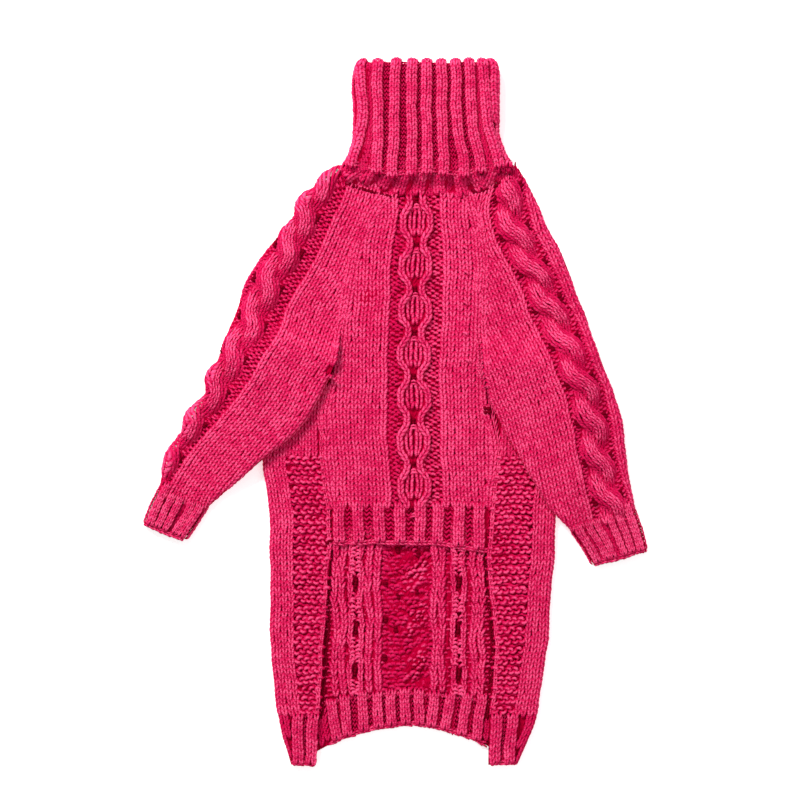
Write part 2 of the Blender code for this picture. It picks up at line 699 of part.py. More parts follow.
def back_hem():
    """The back's 2 by 2 rib, with its corners folded round to the front."""
    rows = [-230.0]
    level = -229.0
    left, right = fold_x("left", level) + FOLD, fold_x("right", level) - FOLD
    shares = [(x - left) / (right - left) for x, _ in rib_points(BACK_HEM_RIBS, half=3.6)]
    columns = [0.0, 0.05] + [share for share in shares if 0.07 < share < 0.93] + [0.95, 1.0]

    def relief(x, y):
        if y > back_hem_line(x) - 1.5 or y < back_hem_edge(x) + 1.5:
            return 0.0
        if not flap_x("left", y) + 5.0 < x < flap_x("right", y) - 5.0:
            return 0.0
        share = (x - fold_x("left", y) - FOLD) / (fold_x("right", y) - fold_x("left", y) - 2 * FOLD)
        at = left + share * (right - left)
        return RIB * max(min(1.0, (3.6 - abs(at - middle)) / 1.2) if abs(at - middle) < 3.6 else 0.0
                         for middle in BACK_HEM_RIBS)

    flap_columns = {}
    for side in ("left", "right"):
        near, far = flap_x(side, level), fold_x(side, level)
        shares = [((x - near) / (far - near), h * RIB) for x, h in rib_points(FLAP_RIBS[side], half=3.2)]
        flap_columns[side] = sorted(s for s in shares if 0.07 < s[0] < 0.9)
    fine = [-200.5, -205.0, -210.0, -215.5, -220.0, -226.0, -232.0, -238.0]
    return back_panel(
        "back_hem", lambda x: back_hem_line(x) - 0.2, back_hem_edge,
        lambda side, x_of: BACK_HEM_FLAP_LINE - 0.2, -246.3,
        {"plain": rows, "fine": fine}, relief, 1.0, columns, flap_columns)


# The collar from the front, top fold to neckline: half-widths of the turned-down layer and the tube inside it
Ring = namedtuple("Ring", "y outer_middle outer_half tube_middle tube_half")
COLLAR_TOP = 246.0
COLLAR_RINGS = [
    Ring(246.0, 22.5, 48.0, 22.5, 41.5),
    Ring(238.0, 22.3, 49.7, 22.5, 43.2),
    Ring(215.0, 21.8, 49.7, 22.0, 43.2),
    Ring(188.0, 22.2, 51.0, 21.5, 44.5),
    Ring(178.0, 22.8, 55.0, 22.8, 49.0),
    Ring(172.0, 23.0, 59.0, 24.0, 54.5),
    Ring(165.0, 23.0, 59.0, 21.9, 54.4),
    Ring(158.0, 23.0, 59.0, 17.2, 49.7),
    Ring(150.0, 23.0, 59.0, 16.6, 49.3),
]
BACK_NECK_LOW = 162.5
TUBE_ROWS = (166.8, 172.0, 178.0, 184.0, 193.0, 210.0)
TURNED_ROWS = (210.0, 193.0, 184.0, 179.0)
NECK_RIB_END = 164.0

# Ribs round the collar, in shares of its front and then of its right end, with the half-width of each. The
# first one lies over the join at the left end, so it stands at both ends of the list.
Stripe = namedtuple("Stripe", "middle half")
FRONT_HALF = 0.045
END_HALF = 0.19
COLLAR_STRIPES = [Stripe(middle, FRONT_HALF) for middle in (0.114, 0.243, 0.387, 0.508, 0.636, 0.758, 0.879)]
# The rib on the corner of the front and the right end, and the one behind it
Mark = namedtuple("Mark", "across share")
COLLAR_CORNER = [Mark(0.955, 0.0), Mark(0.970, 1.0), Mark(1.0, 1.0), Mark(1.128, 1.0), Mark(1.19, 0.0)]
COLLAR_HIDDEN = [Mark(across, 0.0) for across in (2.0, 2.25, 2.5, 2.75, 3.0, 3.25, 3.5)]
COLLAR_JOIN = [Mark(3.81, 0.0), Mark(3.872, 1.0), Mark(4.0, 1.0)]


def collar_value(name, y):
    return float(spline(column(COLLAR_RINGS, "y"), column(COLLAR_RINGS, name), y))


def collar_free_edge(across):
    """Height of the turned-down layer's free edge; across runs from -1 to 1 over the front."""
    return 168.0 + 5.0 * abs(across) ** 2.5 + 1.2 * math.cos(across * 7.0)


def collar():
    """The neck tube, folded over at the top and turned down outside itself."""
    outer, inner = Chain(), Chain()
    core = GAP / 2

    def ring_point(across, radius, layer, y, centre_z):
        """across: 0 to 1 over the front, round the right end to 2, over the back to 3, round the left."""
        middle = collar_value(layer + "_middle", y)
        half = collar_value(layer + "_half", y) - (BODY_TOP + core if layer == "outer" else WALL + core)
        reach = core + radius
        if across <= 1:
            return middle - half + 2 * half * across, y, centre_z + reach
        if across <= 2:
            angle = math.pi * (0.5 - (across - 1))
            return middle + half + reach * math.cos(angle), y, centre_z + reach * math.sin(angle)
        if across <= 3:
            return middle + half - 2 * half * (across - 2), y, centre_z - reach
        angle = math.pi * (-0.5 - (across - 3))
        return middle - half + reach * math.cos(angle), y, centre_z + reach * math.sin(angle)

    def centre(y):
        """The tube sinks to the body's two layers below the free edge."""
        return FOLD + LAYER * smoothstep((y - 158.0) / 9.0)

    def bottom(across, layer_x):
        """Height of the tube's sewn edge: the front neckline, rising round each end to the back's."""
        if across <= 1:
            return neckline(layer_x) + 0.2
        if 2 < across < 3:
            return BACK_NECK_LOW
        turn = across - 1 if across <= 2 else 4 - across
        return neckline(layer_x) * (1 - turn) + BACK_NECK_LOW * turn

    def front_share(across):
        """-1 to 1 across the front, 1 round the right end, back to -1 behind it."""
        if across <= 1:
            return 2 * across - 1
        if across <= 2:
            return 1.0
        return max(2 * (3 - across) - 1, -1.0)

    def stripe_marks(stripe):
        top = 2 * stripe.half / 3
        return [Mark(stripe.middle - stripe.half, 0.0), Mark(stripe.middle - top, 1.0),
                Mark(stripe.middle + top, 1.0), Mark(stripe.middle + stripe.half, 0.0)]

    slit = GAP / (2 * COLLAR_RINGS[1].tube_half)
    marks = [Mark(slit, 1.0), Mark(0.03, 1.0), Mark(0.045, 0.0)]
    for stripe in COLLAR_STRIPES:
        marks += stripe_marks(stripe)
    marks += COLLAR_CORNER + stripe_marks(Stripe(1.44, END_HALF)) + COLLAR_HIDDEN + COLLAR_JOIN

    for across, share in marks:
        # The inside face of the tube, the fold, then the face that shows.
        rise = RIB * share
        top = COLLAR_TOP - 1.6 * (1 - share) - 3.0 * max(0.0, abs(front_share(across)) - 0.9) / 0.1
        straight = top - BODY_TOP / 2 - 1.0
        free = collar_free_edge(front_share(across))
        x_low = ring_point(across, WALL, "tube", 158.0, 0.0)[0]
        low = bottom(across, x_low)
        shown, hidden = [], []
        for y in (low, low + 1.2, NECK_RIB_END) + TUBE_ROWS + (straight,):
            shown.append((0.0, "tube", y))
        for angle in (35.0, 90.0, 145.0):
            radius = (BODY_TOP / 2) * (1 - math.cos(math.radians(angle)))
            shown.append((radius, "fold", straight + (top - straight) * math.sin(math.radians(angle))))
        for y in (straight,) + TURNED_ROWS + (free + 2.0,):
            shown.append((BODY_TOP + rise, "outer", y))
        shown.append((BODY_TOP - 0.6, "outer", free))
        hidden.append((WALL - 0.8, "tube", low))
        for y in (low + 1.2, NECK_RIB_END):
            hidden.append((WALL + (RIB * share if across <= 1 else 0.0), "tube", y))
        for y in TUBE_ROWS + (straight,):
            hidden.append((WALL, "tube", y))
        hidden.append((FOLD, "fold", straight + GAP))
        for y in (straight,) + TURNED_ROWS + (free,):
            hidden.append((LAYER, "outer", y))
        for chain, path in ((outer, shown), (inner, hidden)):
            points, along, walked = [], [], 0.0
            for radius, layer, y in path:
                if layer == "fold":
                    a = np.array(ring_point(across, radius, "tube", y, centre(y)))
                    b = np.array(ring_point(across, radius, "outer", y, centre(y)))
                    mix = radius / BODY_TOP
                    point = tuple(a * (1 - mix) + b * mix)
                else:
                    level = max(y, 168.0) if layer == "outer" else y
                    point = ring_point(across, radius, layer, y, centre(level))
                if points:
                    walked += math.dist(points[-1], point)
                points.append(point)
                along.append(walked)
            along = [value / along[-1] for value in along]
            chain.add(across, along, points)
    return Shell("collar", outer, inner)


def centre_on_origin(objects):
    """Moves the whole garment so that the middle of its box's underside is the origin."""
    points = np.array([vertex.co for obj in objects for vertex in obj.data.vertices])
    low, high = points.min(axis=0), points.max(axis=0)
    offset = np.array([(low[0] + high[0]) / 2, (low[1] + high[1]) / 2, low[2]])
    for obj in objects:
        for vertex in obj.data.vertices:
            vertex.co = np.array(vertex.co) - offset


def main():
    for obj in list(bpy.data.objects):
        bpy.data.objects.remove(obj, do_unlink=True)
    shells = [
        belly(),
        belly_hem(),
        back(),
        back_hem(),
        sleeve("sleeve_left", "left", LEFT_SLEEVE),
        sleeve("sleeve_right", "right", RIGHT_SLEEVE),
        sleeve("cuff_left", "left", LEFT_CUFF, ribs=LEFT_CUFF_RIBS),
        sleeve("cuff_right", "right", RIGHT_CUFF, ribs=RIGHT_CUFF_RIBS),
        collar(),
    ]
    centre_on_origin([shell.put_in_scene() for shell in shells])


main()
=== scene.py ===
"""Looks of the dog sweater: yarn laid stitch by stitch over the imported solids, stage, light and camera."""

import math
from collections import namedtuple

import bpy
import numpy as np
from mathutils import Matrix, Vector


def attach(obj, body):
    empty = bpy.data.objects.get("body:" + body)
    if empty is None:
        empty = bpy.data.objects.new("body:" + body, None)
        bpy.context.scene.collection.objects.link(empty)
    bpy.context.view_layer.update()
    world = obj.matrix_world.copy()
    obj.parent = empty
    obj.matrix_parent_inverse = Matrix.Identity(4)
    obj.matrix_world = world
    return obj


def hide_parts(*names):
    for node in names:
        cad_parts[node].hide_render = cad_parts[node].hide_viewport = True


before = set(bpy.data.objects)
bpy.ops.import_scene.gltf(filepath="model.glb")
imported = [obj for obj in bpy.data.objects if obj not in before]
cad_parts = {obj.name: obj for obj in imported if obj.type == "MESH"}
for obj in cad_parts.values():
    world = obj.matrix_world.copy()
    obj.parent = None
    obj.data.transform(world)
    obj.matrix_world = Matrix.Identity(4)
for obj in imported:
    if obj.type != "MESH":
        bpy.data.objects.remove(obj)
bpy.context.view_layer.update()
rng = np.random.default_rng(11)

# Lengths are millimetres in the source's own frame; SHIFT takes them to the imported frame
MM = 0.001
SHIFT = np.array([0.5, -0.15, 0.0])
WALL = 3.0
LAYER = 3.3
FOLD = 3.15
BODY_TOP = 6.3
SLEEVE_LIFT = 6.6
LIFT_MARGIN = 5.5
LIFT_SIDE = 28.0
LIFT_ABOVE = 30.0
CABLE_WIDTH = 21.0
CABLE_REPEAT = 28.0
LATTICE_PERIOD = 30.9
LATTICE_PINCH = -36.0
LATTICE_NARROW = 4.6
LATTICE_WIDE = 9.6
HEM_LINE = -66.5
FLAP_HEM = -211.0
FLAP_END = -246.0
WINDOW_TOP = -82.0

# Yarn and gauge
WALE = 5.1
COURSE = 3.6
YARN = 1.14
SLEEVE_WALE = 4.75
PAINTED_SHADE_DEPTH = 1.9
SHELL_DEPTH = 1.4
RIB_DEPTH = 2.4

# Painted light and shade, added to a stitch's own random colour of 0 to 1: painted light on a raised column,
# painted shade on purl between ribs, a painted shadow beside an edge, the darkest painted shade in a hole
RAISED_LIGHT = 0.3
SUNK_SHADE = -1.5
SHADED = -5.2
DEEPEST_SHADE = -9.0


def table(kind, *rows):
    return [kind(*row) for row in rows]


Folds = namedtuple("Folds", "y left right")
FOLDS = table(
    Folds,
    (36, -90, 120.5), (0, -93, 118.5), (-35, -92, 116.5), (-72, -87.5, 113),
    (-104, -87, 111.5), (-135, -87, 109), (-162, -86.5, 107), (-194, -84, 102.5),
    (-219, -80, 97.5), (-246.5, -72.5, 86),
)
FLAPS = table(
    Folds,
    (29, -43, 64), (23.5, -44.5, 64), (0.5, -49, 66), (-22, -50, 71.5),
    (-40, -48.5, 71), (-65, -45, 67.5), (-97, -44.5, 65), (-120, -46.5, 65.5),
    (-162, -49.5, 70.5), (-185, -50.5, 69), (-212, -53, 66), (-246.5, -55, 65.5),
)
Station = namedtuple("Station", "fold_x fold_y edge_x edge_y seam_x seam_y closed gutter")
LEFT_SLEEVE = table(
    Station,
    (-36.5, 172.2, -34, 160, -7.5, 153.6, 0, 9), (-57, 157, -38, 147.5, -18, 137, 0, 9),
    (-66.5, 144, -44.5, 133.5, -23.5, 123, 0, 9), (-81.5, 124.5, -54.5, 111, -30.5, 99, 0, 9),
    (-94, 109, -64.5, 94, -34, 79, 0, 9), (-104, 91.5, -74, 76.5, -37, 57.5, 0, 9),
    (-111.5, 69.5, -83, 55, -42, 33, 0, 9), (-119, 52, -93, 38, -50, 16, 1, 8.5),
    (-124, 37.5, -101, 23.5, -60, -2, 1, 8), (-129.5, 26.5, -109.5, 12, -71, -15, 1, 7),
    (-133.5, 10.5, -119.5, 0, -84.5, -26, 1, 5), (-146, -9.5, -135.5, -18, -104, -42, 1, 3),
    (-159.5, -39, -154, -43, -127, -62, 1, 2),
    (-166, -56, -161.5, -57.5, -133.5, -68.5, 1, 2),
)
RIGHT_SLEEVE = table(
    Station,
    (87, 172, 69.5, 159.4, 53, 154.8, 0, 3), (94, 159, 67, 146, 56.5, 142, 0, 3),
    (105.5, 133.5, 73, 118.5, 61, 113, 0, 3), (118, 110, 85, 95, 61, 84.5, 0, 3),
    (127.5, 83.5, 95.5, 69, 60.5, 53, 0, 3), (138, 55.5, 107.5, 43, 63.5, 25, 0, 3),
    (144, 39, 113, 27.5, 67, 11, 1, 3), (149.5, 25, 118, 15, 70.5, 0, 1, 3),
    (158.5, -2.5, 125, -11.5, 82.5, -23, 1, 3), (162.5, -30.5, 130, -39.5, 98, -48, 1, 3),
    (165.5, -51.5, 135.5, -60.5, 110.5, -68, 1, 3), (169, -70, 141, -78.5, 125.5, -83, 1, 3),
)
LEFT_CUFF = table(
    Station,
    (-166.2, -56.6, -152, -62, -134, -69, 1, 0),
    (-171, -67, -157, -72.5, -141, -79, 1, 0),
    (-176, -78.5, -163, -83.5, -148.5, -89, 1, 0),
)
RIGHT_CUFF = table(
    Station,
    (169.2, -70.6, 148, -77, 125.7, -83.7, 1, 0), (173, -83, 153, -89, 133, -95, 1, 0),
    (177, -96, 159, -101.5, 140.5, -107, 1, 0),
)
SLEEVES = {"left": LEFT_SLEEVE, "right": RIGHT_SLEEVE}
# How many stations of each sleeve lie along its raglan, and the way from each side towards the middle
RAGLAN_STATIONS = {"left": 7, "right": 6}
INWARD = {"left": 1, "right": -1}
BACK_FOLD = {"left": (-90, 36), "right": (120.5, 29)}
UNDERARM = {"left": (-43, 29), "right": (64, 23.5)}
Ring = namedtuple("Ring", "y middle half")
COLLAR_RINGS = table(
    Ring,
    (246, 22.5, 48), (238, 22.3, 49.7), (215, 21.8, 49.7), (188, 22.2, 51), (178, 22.8, 55),
    (172, 23, 59), (150, 23, 59),
)
# Middles of the collar's ribs at three heights
CollarRib = namedtuple("CollarRib", "top middle low")
COLLAR_RIB_HEIGHTS = (241, 202, 174)
COLLAR_RIBS = table(
    CollarRib,
    (-24, -22.9, -30), (-11.9, -11.6, -12.1), (0.7, -0.4, -1.4), (12.1, 12, 11.8), (22.2, 22.5, 22.8),
    (32.6, 33.6, 34.1), (42.6, 44.1, 48.3), (52.3, 54.6, 59.9), (61.6, 65.5, 73.2), (70, 71.4, 80.2),
)
Line = namedtuple("Line", "x0 y0 x1 y1")
NECK_RIBS = table(
    Line,
    (-26.1, 169.3, -33.3, 165.3), (-16.5, 169.3, -21.4, 162.8), (-3.6, 169.3, -8.4, 159.6),
    (6.9, 167.7, 3.6, 155.6), (18.9, 167.7, 17.3, 154.8), (30.9, 167.7, 31.8, 154.8),
    (44.7, 168.5, 47.8, 154), (54.3, 169.3, 59.9, 158), (68, 171, 63, 160.5),
)
HEM_RIBS = (-39, -25.5, -10.5, 4, 18, 30.5, 45, 59)
Rib = namedtuple("Rib", "top low")
BACK_HEM_RIBS = table(
    Rib,
    (-45, -40), (-35.4, -33), (-23, -21.8), (-12, -11.6), (-2.6, -2.4), (7.4, 7.6), (17.4, 17.6),
    (28.3, 25.8), (39.3, 35.6), (50.6, 47), (61, 57.5),
)
FLAP_RIBS = {
    "left": [Rib(-67.6, -67.6), Rib(-57, -58.6)],
    "right": [Rib(71.7, 70.3), Rib(82.7, 80.3)],
}

# The belly's two purl gutters: the lattice side of each panel of knit columns
GUTTER_Y = (143.5, 130, 118, 101, 84, 63, 45, -18, -53, -66)
GUTTER_LEFT = (2.8, 1, -1, -2.3, -3.1, -4, -4.4, -4.8, -2.4, -2)
GUTTER_RIGHT = (31.6, 32.3, 33.2, 34.1, 33.7, 32.5, 31.6, 32, 33.5, 33.5)


def ascending(knots, values):
    way = 1 if knots[0] < knots[-1] else -1
    return np.asarray(knots, float)[::way], np.asarray(values, float)[::way]


def spline(knots, values, at):
    """A smooth curve through the values, flat beyond its ends."""
    knots, values = ascending(knots, values)
    at = np.clip(at, knots[0], knots[-1])
    slopes = np.gradient(values, knots)
    i = np.clip(np.searchsorted(knots, at) - 1, 0, len(knots) - 2)
    width = knots[i + 1] - knots[i]
    t = (at - knots[i]) / width
    return (
        values[i] * (2 * t**3 - 3 * t**2 + 1)
        + slopes[i] * width * (t**3 - 2 * t**2 + t)
        + values[i + 1] * (3 * t**2 - 2 * t**3)
        + slopes[i + 1] * width * (t**3 - t**2)
    )


def straight(knots, values, at):
    return np.interp(at, *ascending(knots, values))


def column(rows, name):
    return [getattr(row, name) for row in rows]


def linked(name, data):
    obj = bpy.data.objects.new(name, data)
    bpy.context.scene.collection.objects.link(obj)
    return obj


def smooth(t):
    t = np.clip(t, 0.0, 1.0)
    return t * t * (3 - 2 * t)


def fold_x(side, y):
    return spline(column(FOLDS, "y"), column(FOLDS, side), y)


def flap_x(side, y):
    return straight(column(FLAPS, "y"), column(FLAPS, side), y)


def flap_top(side, x):
    (x0, y0), (x1, y1) = sorted((BACK_FOLD[side], UNDERARM[side]))
    return np.interp(x, (x0, x1), (y0, y1))


def sleeve_lift(side, x, y):
    inside = (x - fold_x(side, y)) * INWARD[side] + LIFT_MARGIN
    below = flap_top(side, x) + LIFT_MARGIN - y
    return SLEEVE_LIFT * smooth(1 + inside / LIFT_SIDE) * smooth(1 + below / LIFT_ABOVE)


def lattice_middle(y):
    return 13.5 + 2.0 * smooth((y - 20.0) / 130.0)


def lattice_reach(y):
    """Half the distance between the two strands, smallest at each pinch."""
    phase = np.abs((y - LATTICE_PINCH) / LATTICE_PERIOD % 1.0 - 0.5) * 2
    return LATTICE_WIDE - (LATTICE_WIDE - LATTICE_NARROW) * smooth((phase - 0.22) / 0.66)


def neckline(x):
    return 151.5 + 8.0 * ((x - 20.0) / 48.0) ** 2


def belly_hem_edge(x):
    return -91.0 - 5.0 * smooth((x - 20.0) / 45.0)


def back_hem_line(x):
    return -197.0 - 15.0 * np.minimum(np.abs(x - 9.0) / 88.0, 1.0) ** 2


def back_hem_edge(x):
    return -218.5 - 27.5 * np.minimum(np.abs(x - 9.0) / 78.0, 1.0) ** 1.9


# at(u, v) gives points in millimetres; turn is 1 where u, v and the outward normal are right-handed
Surface = namedtuple("Surface", "at turn")


def stack(x, y, z):
    x, y, z = np.broadcast_arrays(x, y, z)
    return np.stack([x, y, z], axis=-1).astype(float)


def normals(surface, u, v, step=0.05):
    p = surface.at(u, v)
    across = surface.at(u + step, v) - surface.at(u - step, v)
    along = surface.at(u, v + step) - surface.at(u, v - step)
    n = np.cross(across, along) * surface.turn
    return p, n / np.maximum(np.linalg.norm(n, axis=-1, keepdims=True), 1e-12)


def ribbon(surface, middle, height):
    """A raised strip that follows middle(v) over a surface: u is measured square to its path."""

    def at(u, v):
        slope = (middle(v + 0.1) - middle(v - 0.1)) / 0.2
        size = np.sqrt(1 + slope * slope)
        pu, pv = middle(v) + u / size, v - u * slope / size
        p, n = normals(surface, pu, pv)
        return p + n * np.asarray(height(u, v))[..., None]

    return Surface(at, surface.turn)


def over_plan(path, height):
    """A strip along a plan path: v runs along it, u to the right of the way it runs."""
    path = np.asarray(path, float)
    run = np.concatenate([[0.0], np.cumsum(np.linalg.norm(np.diff(path, axis=0), axis=1))])

    def at(u, v):
        inside = np.clip(v, 0.0, run[-1])
        p = np.stack([spline(run, path[:, k], inside) for k in (0, 1)], axis=-1)
        near, far = np.clip(inside - 0.5, 0, run[-1]), np.clip(inside + 0.5, 0, run[-1])
        d = np.stack([spline(run, path[:, k], far) - spline(run, path[:, k], near) for k in (0, 1)], axis=-1)
        d = d / np.linalg.norm(d, axis=-1, keepdims=True)
        p = p + d * (v - inside)[..., None]
        x = p[..., 0] + u * d[..., 1]
        y = p[..., 1] - u * d[..., 0]
        return stack(x, y, height(x, y))

    return Surface(at, 1), run[-1]


def round_fold(q, flat, radius=FOLD):
    """Plan distance and height of a wall that bends round a fold, q measured over its outer face."""
    angle = np.clip((q - flat) / radius, 0.0, math.pi)
    beyond = np.maximum(q - flat - math.pi * radius, 0.0)
    plan = np.minimum(q, flat) + radius * np.sin(angle) - beyond
    return plan, radius + radius * np.cos(angle)


class Sleeve:
    """A sleeve or cuff laid flat: t across from the cable's front edge to the seam, s down the arm."""

    def __init__(self, side, stations):
        self.side = side
        self.stations = stations
        edge = np.array([(row.edge_x, row.edge_y) for row in stations])
        self.along = np.concatenate([[0.0], np.cumsum(np.linalg.norm(np.diff(edge, axis=0), axis=1))])
        self.end = self.along[-1]
        self.surface = Surface(self.at, -1 if side == "left" else 1)

    def place(self, what, s):
        inside = np.clip(s, 0.0, self.end)
        points = []
        for axis in ("_x", "_y"):
            values = column(self.stations, what + axis)
            if what == "seam":
                points.append(np.interp(inside, self.along, values))
            else:
                points.append(spline(self.along, values, inside))
        return np.stack(points, axis=-1)

    def reach(self, what, s):
        return np.linalg.norm(self.place(what, s) - self.place("edge", s), axis=-1)

    def gutter(self, s):
        return np.interp(s, self.along, column(self.stations, "gutter"))

    def closed(self, s):
        return np.interp(s, self.along, column(self.stations, "closed"))

    def at(self, t, s):
        t, s = np.broadcast_arrays(np.asarray(t, float), np.asarray(s, float))
        edge, fold, seam = (self.place(what, s) for what in ("edge", "fold", "seam"))
        far = np.where((t < 0)[..., None], fold, seam) - edge
        reach = np.linalg.norm(far, axis=-1)
        open_seam = (t >= 0) & (self.closed(s) < 0.5)
        plan, z = round_fold(np.abs(t), np.where(open_seam, 1e6, reach - FOLD))
        p = edge + far / reach[..., None] * plan[..., None]
        over = s - np.clip(s, 0.0, self.end)
        first = self.place("edge", 2.0) - self.place("edge", 0.0)
        last = self.place("edge", self.end) - self.place("edge", self.end - 2.0)
        heading = np.where((s < 0)[..., None], first / np.linalg.norm(first), last / np.linalg.norm(last))
        p = p + heading * over[..., None]
        return stack(p[..., 0], p[..., 1], z + sleeve_lift(self.side, p[..., 0], p[..., 1]))


def flap_surface(side):
    way = INWARD[side]

    def at(u, y):
        """u runs over the outer face, inward from the side fold's outermost line."""
        q = u - math.pi / 2 * FOLD
        plan, z = round_fold(-q, 0.0)
        x = fold_x(side, y) + way * (FOLD - plan)
        return stack(x, y, np.where(q > 0, 2 * FOLD, z))

    return Surface(at, way)


def collar_ring(name, y):
    return spline(column(COLLAR_RINGS, "y"), column(COLLAR_RINGS, name), y)


COLLAR_ROUND = 6.45
COLLAR_FOLD_Y = 241.85
COLLAR_TURN = 4.15


def collar_at(w, y):
    """The turned-down layer: w across from the middle and round the ends, y up to the fold and over it."""
    w, y = np.broadcast_arrays(np.asarray(w, float), np.asarray(y, float))
    turn = np.clip((y - COLLAR_FOLD_Y) / COLLAR_TURN, 0.0, math.pi)
    past = np.maximum(y - COLLAR_FOLD_Y - COLLAR_TURN * math.pi, 0)
    level = np.minimum(y, COLLAR_FOLD_Y) + COLLAR_TURN * np.sin(turn) - past
    thick = COLLAR_ROUND - FOLD * (1 - np.cos(turn))
    flat = collar_ring("half", level) - COLLAR_ROUND
    angle = np.clip((np.abs(w) - flat) / COLLAR_ROUND, 0.0, math.pi)
    beyond = np.maximum(np.abs(w) - flat - math.pi * COLLAR_ROUND, 0.0)
    x = np.minimum(np.abs(w), flat) + thick * np.sin(angle) - beyond
    return stack(collar_ring("middle", level) + np.sign(w) * x, level, COLLAR_ROUND + thick * np.cos(angle))


COLLAR = Surface(collar_at, 1)


def collar_w(x, y):
    """Distance over the collar's face of the place that shows at x."""
    flat = collar_ring("half", y) - COLLAR_ROUND
    offset = x - collar_ring("middle", y)
    bent = np.arcsin(np.clip((np.abs(offset) - flat) / COLLAR_ROUND, 0.0, 1.0)) * COLLAR_ROUND
    return np.sign(offset) * (np.minimum(np.abs(offset), flat) + bent)


# Yarn shapes
Shape = namedtuple("Shape", "a b h quads around run")
LegPoint = namedtuple("LegPoint", "across along height thick")
# One leg of a knit stitch: across in wales, along in courses, height in millimetres, thickness in yarns
KNIT_LEG = (
    LegPoint(0.085, -0.40, -0.62, 0.72),
    LegPoint(0.122, -0.06, -0.10, 0.94),
    LegPoint(0.210, 0.36, 0.16, 1.02),
    LegPoint(0.305, 0.78, 0.08, 1.00),
    LegPoint(0.378, 1.10, -0.24, 0.88),
    LegPoint(0.408, 1.38, -0.66, 0.72),
)


def yarn_shape(path, radii, sides=5):
    """A length of yarn, open underneath, along a path of (across, along, height)."""
    path = np.asarray(path, float)
    radii = np.asarray(radii, float)
    steps = np.gradient(path[:, :2], axis=0)
    steps /= np.maximum(np.linalg.norm(steps, axis=1, keepdims=True), 1e-9)
    angles = np.radians(np.linspace(-26.0, 206.0, sides))
    a = path[:, :1] + steps[:, 1:] * np.cos(angles) * radii[:, None]
    b = path[:, 1:2] - steps[:, :1] * np.cos(angles) * radii[:, None]
    h = path[:, 2:] + np.sin(angles) * radii[:, None]
    rings = len(path)
    quads = []
    for i in range(rings - 1):
        for j in range(sides - 1):
            k = i * sides + j
            quads.append((k, k + sides, k + sides + 1, k + 1))
    run = np.concatenate([[0.0], np.cumsum(np.linalg.norm(np.diff(path, axis=0), axis=1))])
    around = np.tile(np.linspace(0, 1, sides), rings)
    return Shape(a.ravel(), b.ravel(), h.ravel(), np.array(quads), around, np.repeat(run, sides))


def joined(*shapes):
    quads, start = [], 0
    for shape in shapes:
        quads.append(shape.quads + start)
        start += len(shape.a)
    names = ("a", "b", "h", "around", "run")
    a, b, h, around, run = (np.concatenate([getattr(shape, name) for shape in shapes]) for name in names)
    return Shape(a, b, h, np.concatenate(quads), around, run)


def knit_shape(wale=WALE, course=COURSE, yarn=YARN, height=0.45):
    """One knit stitch: two legs that rise from the middle and lean out, their ends tucked in."""
    legs = []
    for way in (-1, 1):
        path = [(p.across * wale * way, p.along * course, height - yarn + p.height) for p in KNIT_LEG]
        legs.append(yarn_shape(path, [yarn * p.thick for p in KNIT_LEG]))
    return joined(*legs)


def leg_shape(course, yarn, lean=0.5, height=0.0):
    """One course of a single slanted leg."""
    path = [(lean * (p.across - 0.24) * 5.0, p.along * course, height - yarn + p.height) for p in KNIT_LEG]
    return yarn_shape(path, [yarn * p.thick for p in KNIT_LEG])


def bump_shape(width=4.6, rise=0.9, yarn=1.15, height=0.3):
    """One purl bump: a short arch of yarn laid across."""
    path = [
        (-0.58 * width, -rise, height - yarn - 1.0),
        (-0.3 * width, -0.1 * rise, height - yarn),
        (0.0, 0.35 * rise, height - yarn + 0.15),
        (0.3 * width, -0.1 * rise, height - yarn),
        (0.58 * width, -rise, height - yarn - 1.0),
    ]
    return yarn_shape(path, [yarn * 0.75, yarn, yarn, yarn, yarn * 0.75])


# A purl course, this wide before it is stretched over its gutter
WAVE_WIDTH = 10.0


def wave_shape(yarn=1.0, height=-0.5, swing=0.85, period=4.6):
    """One purl course of a gutter: yarn that winds across it."""
    count = int(round(WAVE_WIDTH / period * 6)) + 1
    x = np.linspace(-WAVE_WIDTH / 2, WAVE_WIDTH / 2, count)
    y = swing * np.sin(2 * math.pi * x / period)
    z = height - yarn - 0.25 * np.cos(4 * math.pi * x / period)
    return yarn_shape(np.stack([x, y, z], axis=1), np.full(count, yarn))


KNIT = knit_shape()
PURL = bump_shape()
SMALL_PURL = bump_shape(width=4.0, rise=0.8, yarn=0.95, height=0.0)
WAVE = wave_shape()
THIN_WAVE = wave_shape(yarn=0.8)
# Sunk loops at the bottom of a hole or a fold, laid with the darkest painted shade
HOLLOW = bump_shape(width=3.2, rise=0.2, yarn=1.35, height=0.4)


# Soft folds of the laid cloth: a ridge along a line in plan, with its half-width and height
Crease = namedtuple("Crease", "x0 y0 x1 y1 half rise")
CREASES = table(
    Crease,
    (-18, 132, 1, 88, 10, 2), (-34, 128, -24, 84, 8, -0.5),
    (-36, 78, -14, 22, 11, 1.7), (44, 134, 52, 66, 9, 2),
    (64, 132, 66, 84, 8, -0.5), (50, 40, 46, -30, 12, 1.5),
    (-30, 5, -20, -45, 10, 1.3), (-84, 45, -116, -8, 11, 1.8),
    (-96, 30, -66, 8, 9, 1.3), (96, 36, 128, -22, 12, 1.8),
    (110, -36, 146, -62, 10, 1.4), (-72, -70, -74, -170, 8, 1.2),
    (98, -60, 92, -170, 8, 1.2),
)


# Only what lies above this height is creased, not the face on the floor
UPPER = 1.5


